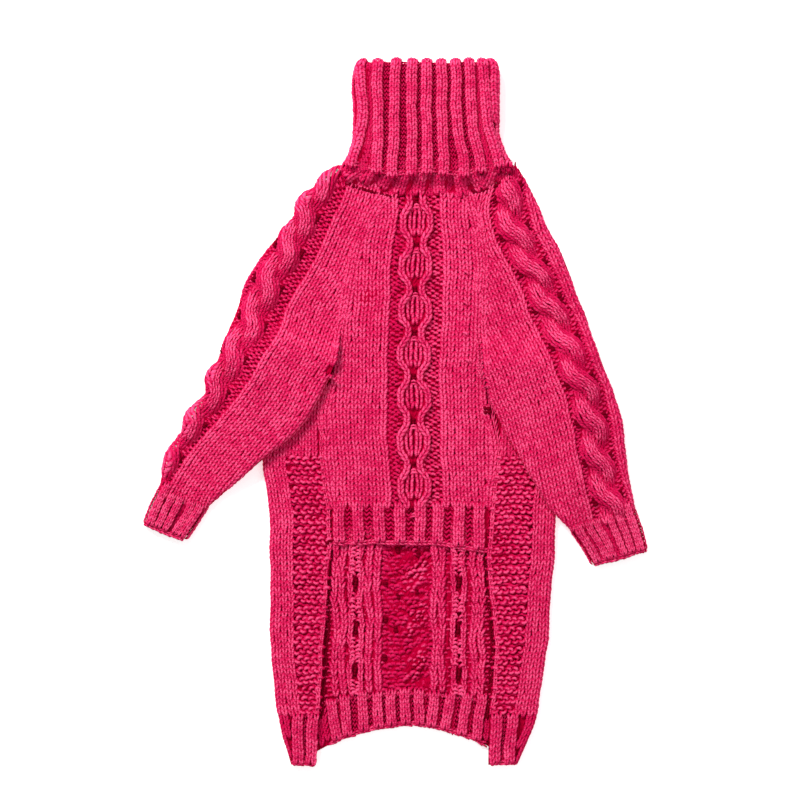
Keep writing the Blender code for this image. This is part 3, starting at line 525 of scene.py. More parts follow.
def creased(x, y):
    """How far the soft folds raise the cloth at a place."""
    total = np.zeros(np.shape(x))
    for c in CREASES:
        run = np.array([c.x1 - c.x0, c.y1 - c.y0], float)
        length = np.hypot(*run)
        run /= length
        along = (x - c.x0) * run[0] + (y - c.y0) * run[1]
        over = along - np.clip(along, 0.0, length)
        across = (x - c.x0) * run[1] - (y - c.y0) * run[0]
        total += c.rise * np.exp(-((across / c.half) ** 2) - (over / (2 * c.half)) ** 2)
    return total


def drift(x, y):
    """Slow sideways wander of the stitches, the same for every piece at one place."""
    across = 0.34 * np.sin(0.105 * y + 0.05 * x) + 0.22 * np.sin(0.23 * y - 0.07 * x + 1.3)
    along = 0.28 * np.sin(0.12 * x + 0.03 * y) + 0.18 * np.sin(0.27 * x - 0.05 * y + 0.6)
    return across, along


# Yarn length in millimetres that fills a stitch's cell, and the share of the cell left clear at each side
LONGEST_RUN = 14.0
CELL_MARGIN = 0.07


class Yarn:
    """Stitches gathered for one mesh."""

    def __init__(self, name):
        self.name = name
        self.points, self.quads, self.cells = [], [], []
        self.tones, self.crests, self.around, self.run = [], [], [], []
        self.count = 0
        self.stitches = 0

    def lay(self, surface, shape, u, v, across=1.0, along=1.0, lift=0.0, twist=0.0, jitter=1.0, painted_light=0.0):
        """One shape at every (u, v) of the surface, in plan steps of the surface's own millimetres."""
        u, v, across, along, lift, twist, painted_light = (
            np.array(x, float).ravel()
            for x in np.broadcast_arrays(u, v, across, along, lift, twist, painted_light)
        )
        n = len(u)
        if n == 0:
            return
        u = u + rng.normal(0, 0.13 * jitter, n)
        v = v + rng.normal(0, 0.13 * jitter, n)
        twist = twist + rng.normal(0, 0.05 * jitter, n)
        size = 1 + rng.normal(0, 0.035 * jitter, n)
        lift = lift + rng.normal(0, 0.1 * jitter, n)
        a = shape.a[None, :] * (across * size)[:, None]
        b = shape.b[None, :] * (along * size)[:, None]
        c, s = np.cos(twist)[:, None], np.sin(twist)[:, None]
        a, b = a * c - b * s, a * s + b * c
        p, normal = normals(surface, u[:, None] + a, v[:, None] + b)
        p = p + normal * (shape.h[None, :] + lift[:, None])[..., None]
        dx, dy = drift(p[..., 0], p[..., 1])
        p = p + stack(dx, dy, creased(p[..., 0], p[..., 1]) * (p[..., 2] > UPPER))
        quads = np.broadcast_to(shape.quads, (n,) + shape.quads.shape).copy()
        mirrored = surface.turn * across * along < 0
        quads[mirrored] = quads[mirrored][:, :, ::-1]
        m = len(shape.a)
        quads += (self.count + np.arange(n) * m)[:, None, None]
        self.points.append(p.reshape(-1, 3))
        self.quads.append(quads.reshape(-1, 4))
        # Each stitch's random colour of 0 to 1, plus the painted light or shade given for it
        self.tones.append(np.repeat(rng.uniform(0, 1, n) + painted_light, m))
        # Painted shade by height: 1 on the shape's crest, 0 at the painted shade depth below it; the material
        # darkens the lower yarn
        self.crests.append(np.tile(np.clip(1 - (shape.h.max() - shape.h) / PAINTED_SHADE_DEPTH, 0, 1), n))
        self.around.append(np.tile(shape.around, n))
        self.run.append(np.tile(shape.run, n))
        self.cells.append(np.repeat(self.stitches + np.arange(n), m))
        self.count += n * m
        self.stitches += n

    def finish(self, material, slot):
        points = (np.concatenate(self.points) - SHIFT) * MM
        points[:, 2] = np.maximum(points[:, 2], 0.0)
        quads = np.concatenate(self.quads)
        mesh = bpy.data.meshes.new(self.name)
        mesh.vertices.add(len(points))
        mesh.vertices.foreach_set("co", points.astype(np.float32).ravel())
        mesh.loops.add(quads.size)
        mesh.loops.foreach_set("vertex_index", quads.astype(np.int32).ravel())
        mesh.polygons.add(len(quads))
        mesh.polygons.foreach_set("loop_start", np.arange(0, quads.size, 4, dtype=np.int32))
        mesh.polygons.foreach_set("loop_total", np.full(len(quads), 4, np.int32))
        mesh.update(calc_edges=True)
        mesh.polygons.foreach_set("use_smooth", np.ones(len(quads), bool))
        # For the material: each stitch's random colour with its painted light and shade, and its height share
        # for painted shade in the crevices
        for label, values in (("tone", self.tones), ("crest", self.crests)):
            attribute = mesh.attributes.new(label, "FLOAT", "POINT")
            attribute.data.foreach_set("value", np.concatenate(values).astype(np.float32))
        # One map follows each yarn; the other gives every stitch its own cell, for baking
        around, run = np.concatenate(self.around), np.concatenate(self.run)
        cells = np.concatenate(self.cells)
        side = math.ceil(math.sqrt(self.stitches))
        corner = np.stack([cells % side, cells // side], 1)
        local = np.stack([around, np.clip(run / LONGEST_RUN, 0, 1)], 1) * (1 - 2 * CELL_MARGIN) + CELL_MARGIN
        for label, places in (("Yarn", np.stack([around, run], 1)), ("OFBake", (corner + local) / side)):
            layer = mesh.uv_layers.new(name=label)
            layer.data.foreach_set("uv", places[quads.ravel()].astype(np.float32).ravel())
        mesh.materials.append(material)
        obj = linked(self.name, mesh)
        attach(obj, "root")
        return obj


def grid(columns, rows):
    u, v = np.meshgrid(np.asarray(columns, float), np.asarray(rows, float), indexing="ij")
    return u.ravel(), v.ravel()


def edge_strip(surface, line):
    """The same surface with its axes turned: v runs along the edge line(v), u square to it."""
    return Surface(lambda u, v: surface.at(v, line(v) + u), -surface.turn)


def ridge_share(x, middles, half=4.2):
    """1 on the middle of a rib, falling to 0 at its sides."""
    offset = np.min(np.abs(np.asarray(x)[..., None] - np.asarray(middles)), axis=-1)
    return np.clip(1 - (offset / half) ** 2, 0, 1)


# Materials
class Graph:
    """Short names for the shader nodes that the materials are made of."""

    def __init__(self, name):
        self.material = bpy.data.materials.new(name)
        self.material.use_nodes = True
        self.nodes, self.links = self.material.node_tree.nodes, self.material.node_tree.links
        self.shader = self.nodes["Principled BSDF"]
        self.where = self.nodes.new("ShaderNodeTexCoord")

    def noise(self, scale, detail):
        node = self.nodes.new("ShaderNodeTexNoise")
        node.inputs["Scale"].default_value = scale
        node.inputs["Detail"].default_value = detail
        node.inputs["Roughness"].default_value = 0.65
        self.links.new(self.where.outputs["Object"], node.inputs["Vector"])
        return node.outputs["Fac"]

    def maths(self, kind, first, second=0.0, third=0.0):
        node = self.nodes.new("ShaderNodeMath")
        node.operation = kind
        for socket, value in zip(node.inputs, (first, second, third)):
            if isinstance(value, (int, float)):
                socket.default_value = value
            else:
                self.links.new(value, socket)
        return node.outputs[0]

    def times(self, first, second, plus=None):
        """first x second, and plus a third where one is given."""
        if plus is None:
            return self.maths("MULTIPLY", first, second)
        return self.maths("MULTIPLY_ADD", first, second, plus)

    def attribute(self, label):
        node = self.nodes.new("ShaderNodeAttribute")
        node.attribute_name = label
        return node.outputs["Fac"]

    def ramp(self, value, stops):
        node = self.nodes.new("ShaderNodeValToRGB")
        elements = node.color_ramp.elements
        while len(elements) < len(stops):
            elements.new(0.5)
        for element, (place, colour) in zip(elements, stops):
            element.position = place
            element.color = colour
        self.links.new(value, node.inputs["Fac"])
        return node.outputs["Color"]

    def parts(self, vector):
        node = self.nodes.new("ShaderNodeSeparateXYZ")
        self.links.new(vector, node.inputs[0])
        return node.outputs

    def wool(self, colour, relief, strength, distance):
        """Dry wool: no gloss, and relief."""
        self.shader.inputs["Roughness"].default_value = 0.9
        self.shader.inputs["Specular IOR Level"].default_value = 0.03
        self.shader.inputs["Specular Tint"].default_value = (1.0, 0.2, 0.4, 1.0)
        self.links.new(colour, self.shader.inputs["Base Color"])
        bump = self.nodes.new("ShaderNodeBump")
        bump.inputs["Strength"].default_value = strength
        bump.inputs["Distance"].default_value = distance
        self.links.new(relief, bump.inputs["Height"])
        self.links.new(bump.outputs["Normal"], self.shader.inputs["Normal"])


def laid_yarn():
    """Spun yarn with plies, fibres and a random colour for each stitch, with painted light on its crests and
    painted shade deep in its crevices and on the stitches given it.
    """
    graph = Graph("pink_yarn")
    fibre, cloud = graph.noise(*FIBRE), graph.noise(*CLOUD)
    share = graph.times(fibre, 0.5)
    share = graph.times(cloud, 0.3, plus=share)
    share = graph.times(graph.attribute("tone"), 0.22, plus=share)
    # Painted shade: the lower the yarn lies in its shape, the darker its colour
    crest = graph.maths("POWER", graph.attribute("crest"), 1.1)
    share = graph.times(graph.maths("ADD", share, 0.42), crest, plus=0.1)
    colour = graph.ramp(share, YARN_COLOURS)
    graph.shader.inputs["Sheen Weight"].default_value = 0.03
    graph.shader.inputs["Sheen Roughness"].default_value = 0.4
    graph.shader.inputs["Sheen Tint"].default_value = (1.0, 0.22, 0.48, 1.0)
    wrap = graph.nodes.new("ShaderNodeUVMap")
    wrap.uv_map = "Yarn"
    parts = graph.parts(wrap.outputs["UV"])
    turns = graph.times(parts[0], 5.0, plus=graph.times(parts[1], 4.2))
    relief = graph.times(graph.maths("SINE", turns), 0.32, plus=graph.times(fibre, 0.5))
    graph.wool(colour, relief, strength=0.55, distance=0.0007)
    return graph.material


def cloth():
    """The cloth under the laid yarn and on the undersides: columns of small V stitches in relief, painted
    dark as shade where it lies under the yarn.
    """
    graph = Graph("pink_cloth")
    parts = graph.parts(graph.where.outputs["Object"])
    wale = graph.maths("FRACT", graph.times(parts[0], 1 / (WALE * MM)))
    lean = graph.maths("ABSOLUTE", graph.maths("SUBTRACT", wale, 0.5))
    rows = graph.times(parts[1], 1 / (COURSE * MM))
    course = graph.maths("FRACT", graph.maths("SUBTRACT", rows, graph.times(lean, 1.6)))
    grain = graph.maths("SINE", graph.times(course, math.pi))
    leg = graph.maths("SINE", graph.times(lean, 2 * math.pi))
    stitch = graph.times(grain, leg)
    fibre, cloud = graph.noise(*FIBRE), graph.noise(*CLOUD)
    share = graph.times(cloud, 0.2, plus=graph.times(fibre, 0.2))
    # Painted light: the colour is a little lighter on the legs of the V stitches in relief
    share = graph.times(stitch, 0.12, plus=share)
    # The upward faces are painted dark as shade between the stitches; the undersides, where no yarn is laid,
    # are as light as the yarn
    facing = graph.parts(graph.where.outputs["Normal"])[2]
    share = graph.times(graph.maths("LESS_THAN", facing, -0.3), 0.5, plus=share)
    colour = graph.ramp(share, CLOTH_COLOURS)
    relief = graph.times(fibre, 0.2, plus=stitch)
    graph.wool(colour, relief, strength=0.7, distance=0.0009)
    return graph.material


# Scale and detail of two noises: loose fibres, and the slow unevenness of the dye
FIBRE = (900.0, 4.0)
CLOUD = (34.0, 2.0)
# From the darkest painted shade at 0, for holes and pits, through the yarn's own pinks, to a painted
# highlight at 1 on lit crests
YARN_COLOURS = (
    (0.0, (0.17, 0.0, 0.010, 1)),
    (0.1, (0.50, 0.0, 0.036, 1)),
    (0.54, (0.585, 0.004, 0.068, 1)),
    (0.80, (0.65, 0.017, 0.103, 1)),
    (1.0, (0.90, 0.08, 0.22, 1)),
)
# The low stops are painted shade between the stitches; the light stops are the yarn's own colour, for the
# undersides
CLOTH_COLOURS = (
    (0.05, (0.36, 0.0, 0.020, 1)),
    (0.45, (0.50, 0.0, 0.036, 1)),
    (0.55, (0.45, 0.002, 0.045, 1)),
    (0.95, (0.80, 0.04, 0.16, 1)),
)
YARN_MATERIAL = laid_yarn()
CLOTH_MATERIAL = cloth()


def shell_of(node, depth):
    """The cloth under the stitches: the solid's own surface, its upward faces lowered by the given depth."""
    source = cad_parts[node].data
    mesh = source.copy()
    mesh.name = node + "_cloth"
    mesh.materials.clear()
    mesh.materials.append(CLOTH_MATERIAL)
    count = len(mesh.vertices)
    points = np.empty(count * 3, np.float32)
    mesh.vertices.foreach_get("co", points)
    points = points.reshape(-1, 3)
    # The import splits points at sharp edges, so normals are averaged over points that share a place
    _, index = np.unique(np.round(points, 6), axis=0, return_inverse=True)
    index = index.reshape(-1)
    mesh.calc_loop_triangles()
    tris = np.empty(len(mesh.loop_triangles) * 3, np.int32)
    mesh.loop_triangles.foreach_get("vertices", tris)
    tris = tris.reshape(-1, 3)
    faces = np.cross(points[tris[:, 1]] - points[tris[:, 0]], points[tris[:, 2]] - points[tris[:, 0]])
    total = np.zeros((index.max() + 1, 3))
    for k in range(3):
        np.add.at(total, index[tris[:, k]], faces)
    total /= np.maximum(np.linalg.norm(total, axis=1, keepdims=True), 1e-15)
    points[:, 2] -= np.maximum(total[index][:, 2], 0.0) * depth * MM
    raised = creased(points[:, 0] / MM + SHIFT[0], points[:, 1] / MM + SHIFT[1]) * MM
    points[:, 2] += raised * (points[:, 2] > UPPER * MM)
    mesh.vertices.foreach_set("co", points.astype(np.float32).ravel())
    mesh.update()
    obj = linked(node + "_cloth", mesh)
    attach(obj, "root")
    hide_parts(node)
    return obj


# ---- belly
BELLY_PLANE = Surface(lambda x, y: stack(x, y, BODY_TOP), 1)
WINDOW_PLANE = Surface(lambda x, y: stack(x, y, WALL), 1)


def raglan(side):
    """Places of the raglan seam, from the neck to the underarm."""
    return [(row.seam_x, row.seam_y) for row in SLEEVES[side][: RAGLAN_STATIONS[side]]]


def side_of_seam(side, x, y):
    """How far inside the belly a point lies, past its raglan or its seam with the back."""
    knots = raglan(side)
    knots += [(getattr(row, side), row.y) for row in FLAPS if row.y < knots[-1][1] - 1]
    edge = np.interp(-y, [-k[1] for k in knots], [k[0] for k in knots])
    return (x - edge) * INWARD[side]


def belly_surface(gutter):
    return Surface(lambda u, y: stack(spline(GUTTER_Y, gutter, y) + u, y, BODY_TOP), 1)


def lay_belly_panels(yarn):
    rows = np.arange(HEM_LINE + 1.0, 156.0, COURSE)
    for side, gutter, way in (("left", GUTTER_LEFT, -1), ("right", GUTTER_RIGHT, 1)):
        order = np.arange(12)
        u, v = grid(way * (order + 0.5) * WALE, rows)
        first = np.repeat(order == 0, len(rows))
        x = spline(GUTTER_Y, gutter, v) + u
        keep = (side_of_seam(side, x, v) > 3.4) & (v < neckline(x) - 1.5)
        # The first column beside each gutter is raised and given painted light
        yarn.lay(belly_surface(gutter), KNIT, u[keep], v[keep], lift=0.5 * first[keep],
                 painted_light=RAISED_LIGHT * first[keep])


def lay_lattice(yarn):
    """Two strands that draw together and part, knit columns between them, purl all round."""
    flat = Surface(lambda u, y: stack(lattice_middle(y) + u, y, BODY_TOP), 1)
    fine = np.arange(HEM_LINE + 1.0, 151.0, 3.3)
    cord = knit_shape(wale=5.3, course=3.3, yarn=1.12)
    # The strands and the thin columns between them get a little painted light
    for way in (-1, 1):
        strand = ribbon(flat, lambda y, w=way: w * lattice_reach(y), lambda u, y: 2.5 - 0.16 * u * u)
        yarn.lay(strand, cord, 0.0, fine, painted_light=0.15)
    for k, share in enumerate((-0.60, -0.22, 0.22, 0.60)):
        inside = lattice_reach(fine) > 5.9 + 1.6 * abs(share)
        thin = leg_shape(3.3, 1.2, lean=0.6 if k % 2 else -0.6)
        v = fine[inside]
        bend = share * (lattice_reach(v) - 1.2)
        yarn.lay(flat, thin, bend, v, lift=1.1 - 0.9 * share * share, painted_light=0.1, jitter=1.2)
    arch = bump_shape(width=4.6, rise=1.1, yarn=0.8, height=1.5)
    # At each pinch, arched bars, and two sunk loops in the darkest painted shade
    for pinch in np.arange(LATTICE_PINCH - LATTICE_PERIOD, 150.0, LATTICE_PERIOD):
        yarn.lay(flat, arch, [0.0, 0.0], [pinch - 3.4, pinch - 5.6], across=[0.9, 1.3], jitter=0.8)
        yarn.lay(flat, HOLLOW, [0.0, 0.0], [pinch + 0.6, pinch - 1.6], painted_light=DEEPEST_SHADE)
    # The purl gutters: short bars in staggered columns, sunk and darkened with painted shade, the left one
    # more
    rows = np.arange(HEM_LINE + 2.0, 150.0, 3.5)
    dash = bump_shape(width=3.8, rise=0.9, yarn=1.1, height=0.1)
    for gutter, way, dim in ((GUTTER_LEFT, -1, 1.2), (GUTTER_RIGHT, 1, 0.2)):
        k, v = grid(np.arange(5), rows)
        x = spline(GUTTER_Y, gutter, v) - way * (0.6 + 2.8 * k)
        v = v + 1.75 * (k % 2)
        clear = way * (x - lattice_middle(v)) - lattice_reach(v) > 1.9
        yarn.lay(BELLY_PLANE, dash, x[clear], v[clear], twist=-0.2, painted_light=-dim, lift=-0.3 * dim, jitter=2.6)


def lay_belly():
    yarn = Yarn("belly_stitches")
    lay_belly_panels(yarn)
    lay_lattice(yarn)
    # Edge columns that run along the raglans and the side seams
    for side in ("left", "right"):
        path = raglan(side)
        path += [(getattr(row, side), row.y) for row in FLAPS if HEM_LINE < row.y < path[-1][1] - 6]
        path += [(flap_x(side, HEM_LINE), HEM_LINE)]
        strip, length = over_plan(path[::-1], lambda x, y: BODY_TOP)
        yarn.lay(strip, KNIT, 2.2 * INWARD[side], np.arange(1.0, length, COURSE), lift=0.15)
    # The small hole at the right underarm, sunk loops in the darkest painted shade, and marks where stitches
    # were worked together beside the raglan, raised and given painted light
    x, y = grid((63.6, 66.2), (0.6, 3.4))
    yarn.lay(BELLY_PLANE, HOLLOW, x, y, lift=1.2, painted_light=DEEPEST_SHADE)
    y = np.array([116.0, 98.5, 77.0, 56.0, 37.0])
    seam_x, seam_y = np.array(raglan("right")[::-1]).T
    x = np.interp(y, seam_y, seam_x) - 11.0
    yarn.lay(BELLY_PLANE, PURL, x, y, lift=1.3, twist=-0.6, across=1.15, painted_light=RAISED_LIGHT)
    return yarn


def rib_columns(yarn, surface, middle, start, end, wale=4.2, course=3.4, raise_by=1.9, half=4.2, bow=1.7,
                knit_up=True, painted_light=0.0):
    """A 2 by 2 rib's knit pair: two columns over a rounded ridge that follows middle(v)."""
    shape = knit_shape(wale=wale, course=course, yarn=min(YARN, 0.235 * wale))
    ridge = ribbon(surface, middle, lambda u, v: raise_by - bow * (u / half) ** 2)
    v = np.arange(start, end, course) if end > start else np.arange(start, end, -course)
    for offset in (-wale / 2, wale / 2):
        yarn.lay(ridge, shape, offset, v, along=1.0 if knit_up else -1.0, painted_light=painted_light)


def chain(yarn, surface, line, start, end, lift):
    """A cast-off edge: a chain of stitches that lies along line(v), raised by lift(v)."""
    v = np.arange(start, end, 3.3)
    yarn.lay(edge_strip(surface, line), KNIT, 0.6, v, across=0.72, along=0.95, lift=lift(v) - 0.7)


def lay_belly_hem():
    yarn = Yarn("belly_hem_stitches")
    for k, middle in enumerate(HEM_RIBS):
        low = belly_hem_edge(middle)
        rib_columns(yarn, BELLY_PLANE, lambda y, m=middle: m, low + 1.6, HEM_LINE + 1.5)
        # Purl between the ribs, painted darker as shade
        if k:
            gap = (HEM_RIBS[k - 1] + middle) / 2
            width = middle - HEM_RIBS[k - 1] - 6.4
            y = np.arange(low + 1.2, HEM_LINE, 3.2)
            yarn.lay(BELLY_PLANE, THIN_WAVE, gap, y, across=width / WAVE_WIDTH, painted_light=SUNK_SHADE)
    chain(yarn, BELLY_PLANE, belly_hem_edge, HEM_RIBS[0] - 4.0, HEM_RIBS[-1] + 4.5,
          lift=lambda x: -0.2 + 1.3 * ridge_share(x, HEM_RIBS))
    # A hole at the hem's left end: sunk loops in the darkest painted shade
    yarn.lay(BELLY_PLANE, HOLLOW, [-47.6, -46.0], [-90.4, -88.6], lift=0.6, painted_light=DEEPEST_SHADE)
    return yarn


# ---- back
GARTER_TOP = -31.0
FLAP_WALE = 4.55
FLAP_FIRST = 2.4
GARTER_START = FLAP_FIRST + 3 * FLAP_WALE + 2.4
# Distance over the outer face is this much more than distance in plan from the side fold
FLAP_ROUND = 1.8


def flap_width(side, y):
    return np.abs(flap_x(side, y) - fold_x(side, y))


def lay_flaps(yarn):
    for side in ("left", "right"):
        surface = flap_surface(side)
        top = 20.0 if side == "left" else 15.0
        u, v = grid(FLAP_FIRST + FLAP_WALE * np.arange(-2, 4), np.arange(FLAP_HEM, top, COURSE))
        yarn.lay(surface, KNIT, u, v, across=0.9)
        # Garter border: rows of purl bumps in pairs, each row half a bump along, with a little painted light
        # on the bumps and painted shade on the course between the pairs
        bump = bump_shape(width=4.3, rise=1.3, yarn=1.25, height=0.9)
        for y in np.arange(FLAP_HEM + 2.0, GARTER_TOP, 7.0):
            width = flap_width(side, y) + FLAP_ROUND - GARTER_START - 0.6
            count = max(2, int(round(width / 4.7)))
            for row, shift, way in ((0.0, 0.0, -1.0), (2.8, 0.5, 1.0)):
                u = GARTER_START + (np.arange(count) + 0.25 + shift) * width / count
                yarn.lay(surface, bump, u, y + row, along=way, twist=0.35 * way, jitter=2.6, painted_light=0.2)
            middle = GARTER_START + width / 2
            yarn.lay(surface, WAVE, middle, y + 5.0, across=width / WAVE_WIDTH, painted_light=-1.7)
        # Plain knitting above the border, painted a little darker as shade
        u, v = grid(GARTER_START + 1.6 + FLAP_WALE * np.arange(6), np.arange(GARTER_TOP + 1.0, top, COURSE))
        keep = u < flap_width(side, v) - 0.6
        yarn.lay(surface, KNIT, u[keep], v[keep], across=0.9, painted_light=-0.4)
        # The edge column beside the belly
        v = np.arange(FLAP_HEM + 1.0, top, COURSE)
        yarn.lay(surface, KNIT, flap_width(side, v) + FLAP_ROUND - 1.6, v, across=0.6, lift=-0.1)


# Middles of the knit columns and of the two lattices, with each lattice's holes
WINDOW_COLUMNS = (-41.6, -36.6, -18.0, -11.8, 27.9, 33.0, 55.8, 60.8)
Cell = namedtuple("Cell", "middle holes")
CELLS = (Cell(-27.2, (-119.3, -151.6, -181.0)), Cell(44.8, (-119.3, -151.6, -183.8)))
CELL_PERIOD = 32.2
# Pits beside the middle cable's crossings
PITS = (
    (-6.1, -88), (2.4, -96), (3, -128.5), (1, -152), (-6.1, -120.3),
    (-6.1, -145.2), (-6.9, -171.9), (16.4, -98.7), (15.5, -124.4), (12.2, -178.1),
)


def cell_reach(y):
    return 2.7 + 1.3 * np.abs(np.sin(math.pi * (y + 135.5) / CELL_PERIOD)) ** 0.8


def clear_of(holes, x, y, wide, tall):
    keep = np.ones(np.shape(x), bool)
    for hole_x, hole_y in holes:
        keep &= ((x - hole_x) / wide) ** 2 + ((y - hole_y) / tall) ** 2 > 1
    return keep


def lay_window(yarn):
    """The back's wrong side between the flaps: knit columns, two open lattices and the cable's bumps."""
    rows = np.arange(FLAP_HEM - 1.0, WINDOW_TOP, COURSE)
    holes = [(cell.middle, y) for cell in CELLS for y in cell.holes]
    for x in WINDOW_COLUMNS:
        v = rows[rows > back_hem_line(x) + 1.0]
        sway = 0.7 * np.sin(v / 8.0 + x)
        lift = 1.2 + 0.3 * np.sin(v / 6.0 + 2 * x)
        yarn.lay(WINDOW_PLANE, KNIT, x + sway, v, across=0.98, lift=lift, jitter=2.0)
    for cell in CELLS:
        v = rows[rows > back_hem_line(cell.middle) + 1.0]
        for way in (-1, 1):
            def middle(y, way=way, cell=cell):
                return cell.middle + way * cell_reach(y)
            strand = ribbon(WINDOW_PLANE, middle, lambda u, y: 1.5 - 0.1 * u * u)
            yarn.lay(strand, KNIT, 0.0, v, across=0.8, jitter=1.8)
        # Loops that cross between one hole and the next, raised and given painted light, and lower ones
        # beside the holes with less painted light
        bar = bump_shape(width=4.4, rise=1.3, yarn=1.05, height=1.9)
        for y in np.arange(FLAP_HEM, WINDOW_TOP - 2.0, 2.9):
            nearest = min(abs(y - hole_y) for hole_y in cell.holes)
            if y < back_hem_line(cell.middle) + 1.0 or nearest < 6.0:
                continue
            lean = 0.45 * math.sin(y * 1.3)
            lift, painted_light = (0.6, 0.8) if nearest > 9.0 else (0.1, 0.2)
            x = np.array([-2.1, 1.9]) + cell.middle
            yarn.lay(WINDOW_PLANE, bar, x, [y + 0.7, y - 0.6], lift=lift, twist=[lean, -lean], jitter=2.6,
                     painted_light=painted_light)
    # Purl bumps everywhere between them, painted a little darker as shade
    x, y = grid(np.arange(-48.0, 68.0, 4.1), np.arange(FLAP_HEM, WINDOW_TOP, 3.3))
    x = x + 2.0 * (np.round((y - FLAP_HEM) / 3.3) % 2)
    middle_zone = (x > -9.0) & (x < 25.0)
    in_cell = (np.abs(x - CELLS[0].middle) < 5.5) | (np.abs(x - CELLS[1].middle) < 5.5)
    keep = (y > back_hem_line(x) + 1) & ~middle_zone & ~in_cell
    yarn.lay(WINDOW_PLANE, SMALL_PURL, x[keep], y[keep], lift=0.1, jitter=2.4, painted_light=-0.6)
    # The middle cable from behind: clusters of bumps that ride up over each crossing with painted light, and
    # low bars in painted shade
    x, y = grid(np.arange(-8.0, 25.5, 3.9), np.arange(FLAP_HEM, WINDOW_TOP - 2.0, 2.9))
    x = x + 1.95 * (np.round((y - FLAP_HEM) / 2.9) % 2)
    wave = np.sin(2 * math.pi * (y - 0.9 * x + 104.0) / 31.0)
    right = smooth((x - 3.5) / 7.0) * smooth((25.0 - x) / 4.0)
    ridge = right * smooth(0.5 + 1.1 * wave)
    keep = (y > back_hem_line(x) + 1) & clear_of(PITS, x, y, 3.0, 3.2)
    x, y, right, ridge = x[keep], y[keep], right[keep], ridge[keep]
    twist = 0.45 * right + 0.3 * np.sin(1.7 * x + 2.3 * y)
    yarn.lay(WINDOW_PLANE, PURL, x, y, across=0.9 - 0.1 * right, lift=1.6 * ridge - 0.3, twist=twist,
             jitter=5.0, painted_light=1.4 * ridge - 1.3)
    # Sunk loops in the darkest painted shade at the bottoms of the holes and pits, and a column in painted
    # shadow beside each flap
    step = np.array([-1, 0, 1])
    for x, y in holes:
        yarn.lay(WINDOW_PLANE, HOLLOW, x + 0.4 * step, y + 2.0 * step, across=0.9, lift=-0.3, painted_light=DEEPEST_SHADE)
    x, y = np.array(PITS).T
    yarn.lay(WINDOW_PLANE, HOLLOW, np.tile(x, 2), np.concatenate([y - 1.1, y + 1.1]), painted_light=DEEPEST_SHADE, lift=-0.2)
    y = np.arange(FLAP_HEM - 3.0, WINDOW_TOP - 8.0, COURSE)
    for side, way in INWARD.items():
        yarn.lay(WINDOW_PLANE, KNIT, flap_x(side, y) + 1.3 * way, y, painted_light=SHADED, across=0.75)


def lay_back():
    yarn = Yarn("back_stitches")
    lay_flaps(yarn)
    lay_window(yarn)
    return yarn


def rib_at(rib, top, low):
    """The middle of a rib that leans from its top to its low end."""
    return lambda y: np.interp(y, (low, top), (rib.low, rib.top))


def lay_back_hem():
    yarn = Yarn("back_hem_stitches")
    for side in ("left", "right"):
        surface = flap_surface(side)

        def over_flap(y, rib, side=side):
            return np.abs(rib_at(rib, FLAP_HEM - 1.0, FLAP_END)(y) - fold_x(side, y)) + FLAP_ROUND

        for rib in FLAP_RIBS[side]:
            rib_columns(yarn, surface, lambda y, r=rib: over_flap(y, r), FLAP_END + 1.4, FLAP_HEM, wale=3.9)
        # Plain columns between the fold and the outer rib, and purl between the two ribs, both painted darker
        # as shade
        first, second = FLAP_RIBS[side]
        y = np.arange(FLAP_END + 2.0, FLAP_HEM, COURSE)
        for u in (-2.1, 2.4, 6.9):
            keep = over_flap(y, first if side == "left" else second) - 5.6 > u
            yarn.lay(surface, KNIT, u, y[keep], across=0.85, painted_light=-0.9, lift=-0.4)
        y = np.arange(FLAP_END + 2.0, FLAP_HEM, 3.2)
        yarn.lay(surface, WAVE, (over_flap(y, first) + over_flap(y, second)) / 2, y, across=0.4, painted_light=-0.8)
        middles = [float(over_flap(FLAP_END, rib)) for rib in FLAP_RIBS[side]]
        chain(yarn, surface, lambda u: FLAP_END + 0.4, 0.0, flap_width(side, FLAP_END) - 1.4,
              lift=lambda u: 1.2 * ridge_share(u, middles))
    for k, rib in enumerate(BACK_HEM_RIBS):
        low, high = float(back_hem_edge(rib.low)), float(back_hem_line(rib.top))
        rib_columns(yarn, WINDOW_PLANE, rib_at(rib, high, low), low + 1.2, high + 1.0, wale=3.7)
        # Purl between the ribs, painted darker as shade
        if k:
            before = BACK_HEM_RIBS[k - 1]
            y = np.arange(low + 1.5, high, 3.2)
            x = (rib_at(rib, high, low)(y) + rib_at(before, high, low)(y)) / 2
            yarn.lay(WINDOW_PLANE, THIN_WAVE, x, y, across=0.45, painted_light=SUNK_SHADE)
    # Plain columns from the outermost ribs to under the flaps, painted darker as shade
    for rib, step in ((BACK_HEM_RIBS[0], -1), (BACK_HEM_RIBS[-1], 1)):
        y = np.arange(FLAP_END + 3.0, FLAP_HEM + 1.0, COURSE)
        for k in (1, 2, 3):
            x = rib_at(rib, back_hem_line(rib.top), back_hem_edge(rib.low))(y) + step * (2.6 + 4.2 * k)
            keep = (y > back_hem_edge(x) + 1.0) & (x > flap_x("left", y)) & (x < flap_x("right", y))
            yarn.lay(WINDOW_PLANE, KNIT, x[keep], y[keep], painted_light=-1.3, across=0.85, lift=-0.3)
    # The row that joins the hem to the back, painted a little darker as shade
    x = np.arange(-52.0, 72.0, 4.4)
    yarn.lay(WINDOW_PLANE, wave_shape(height=0.3), x, back_hem_line(x) + 0.3, across=0.62, painted_light=-0.3)
    chain(yarn, WINDOW_PLANE, back_hem_edge, BACK_HEM_RIBS[0].low - 5.0, BACK_HEM_RIBS[-1].low + 6.0,
          lift=lambda x: -0.2 + 1.2 * ridge_share(x, [rib.low for rib in BACK_HEM_RIBS]))
    return yarn


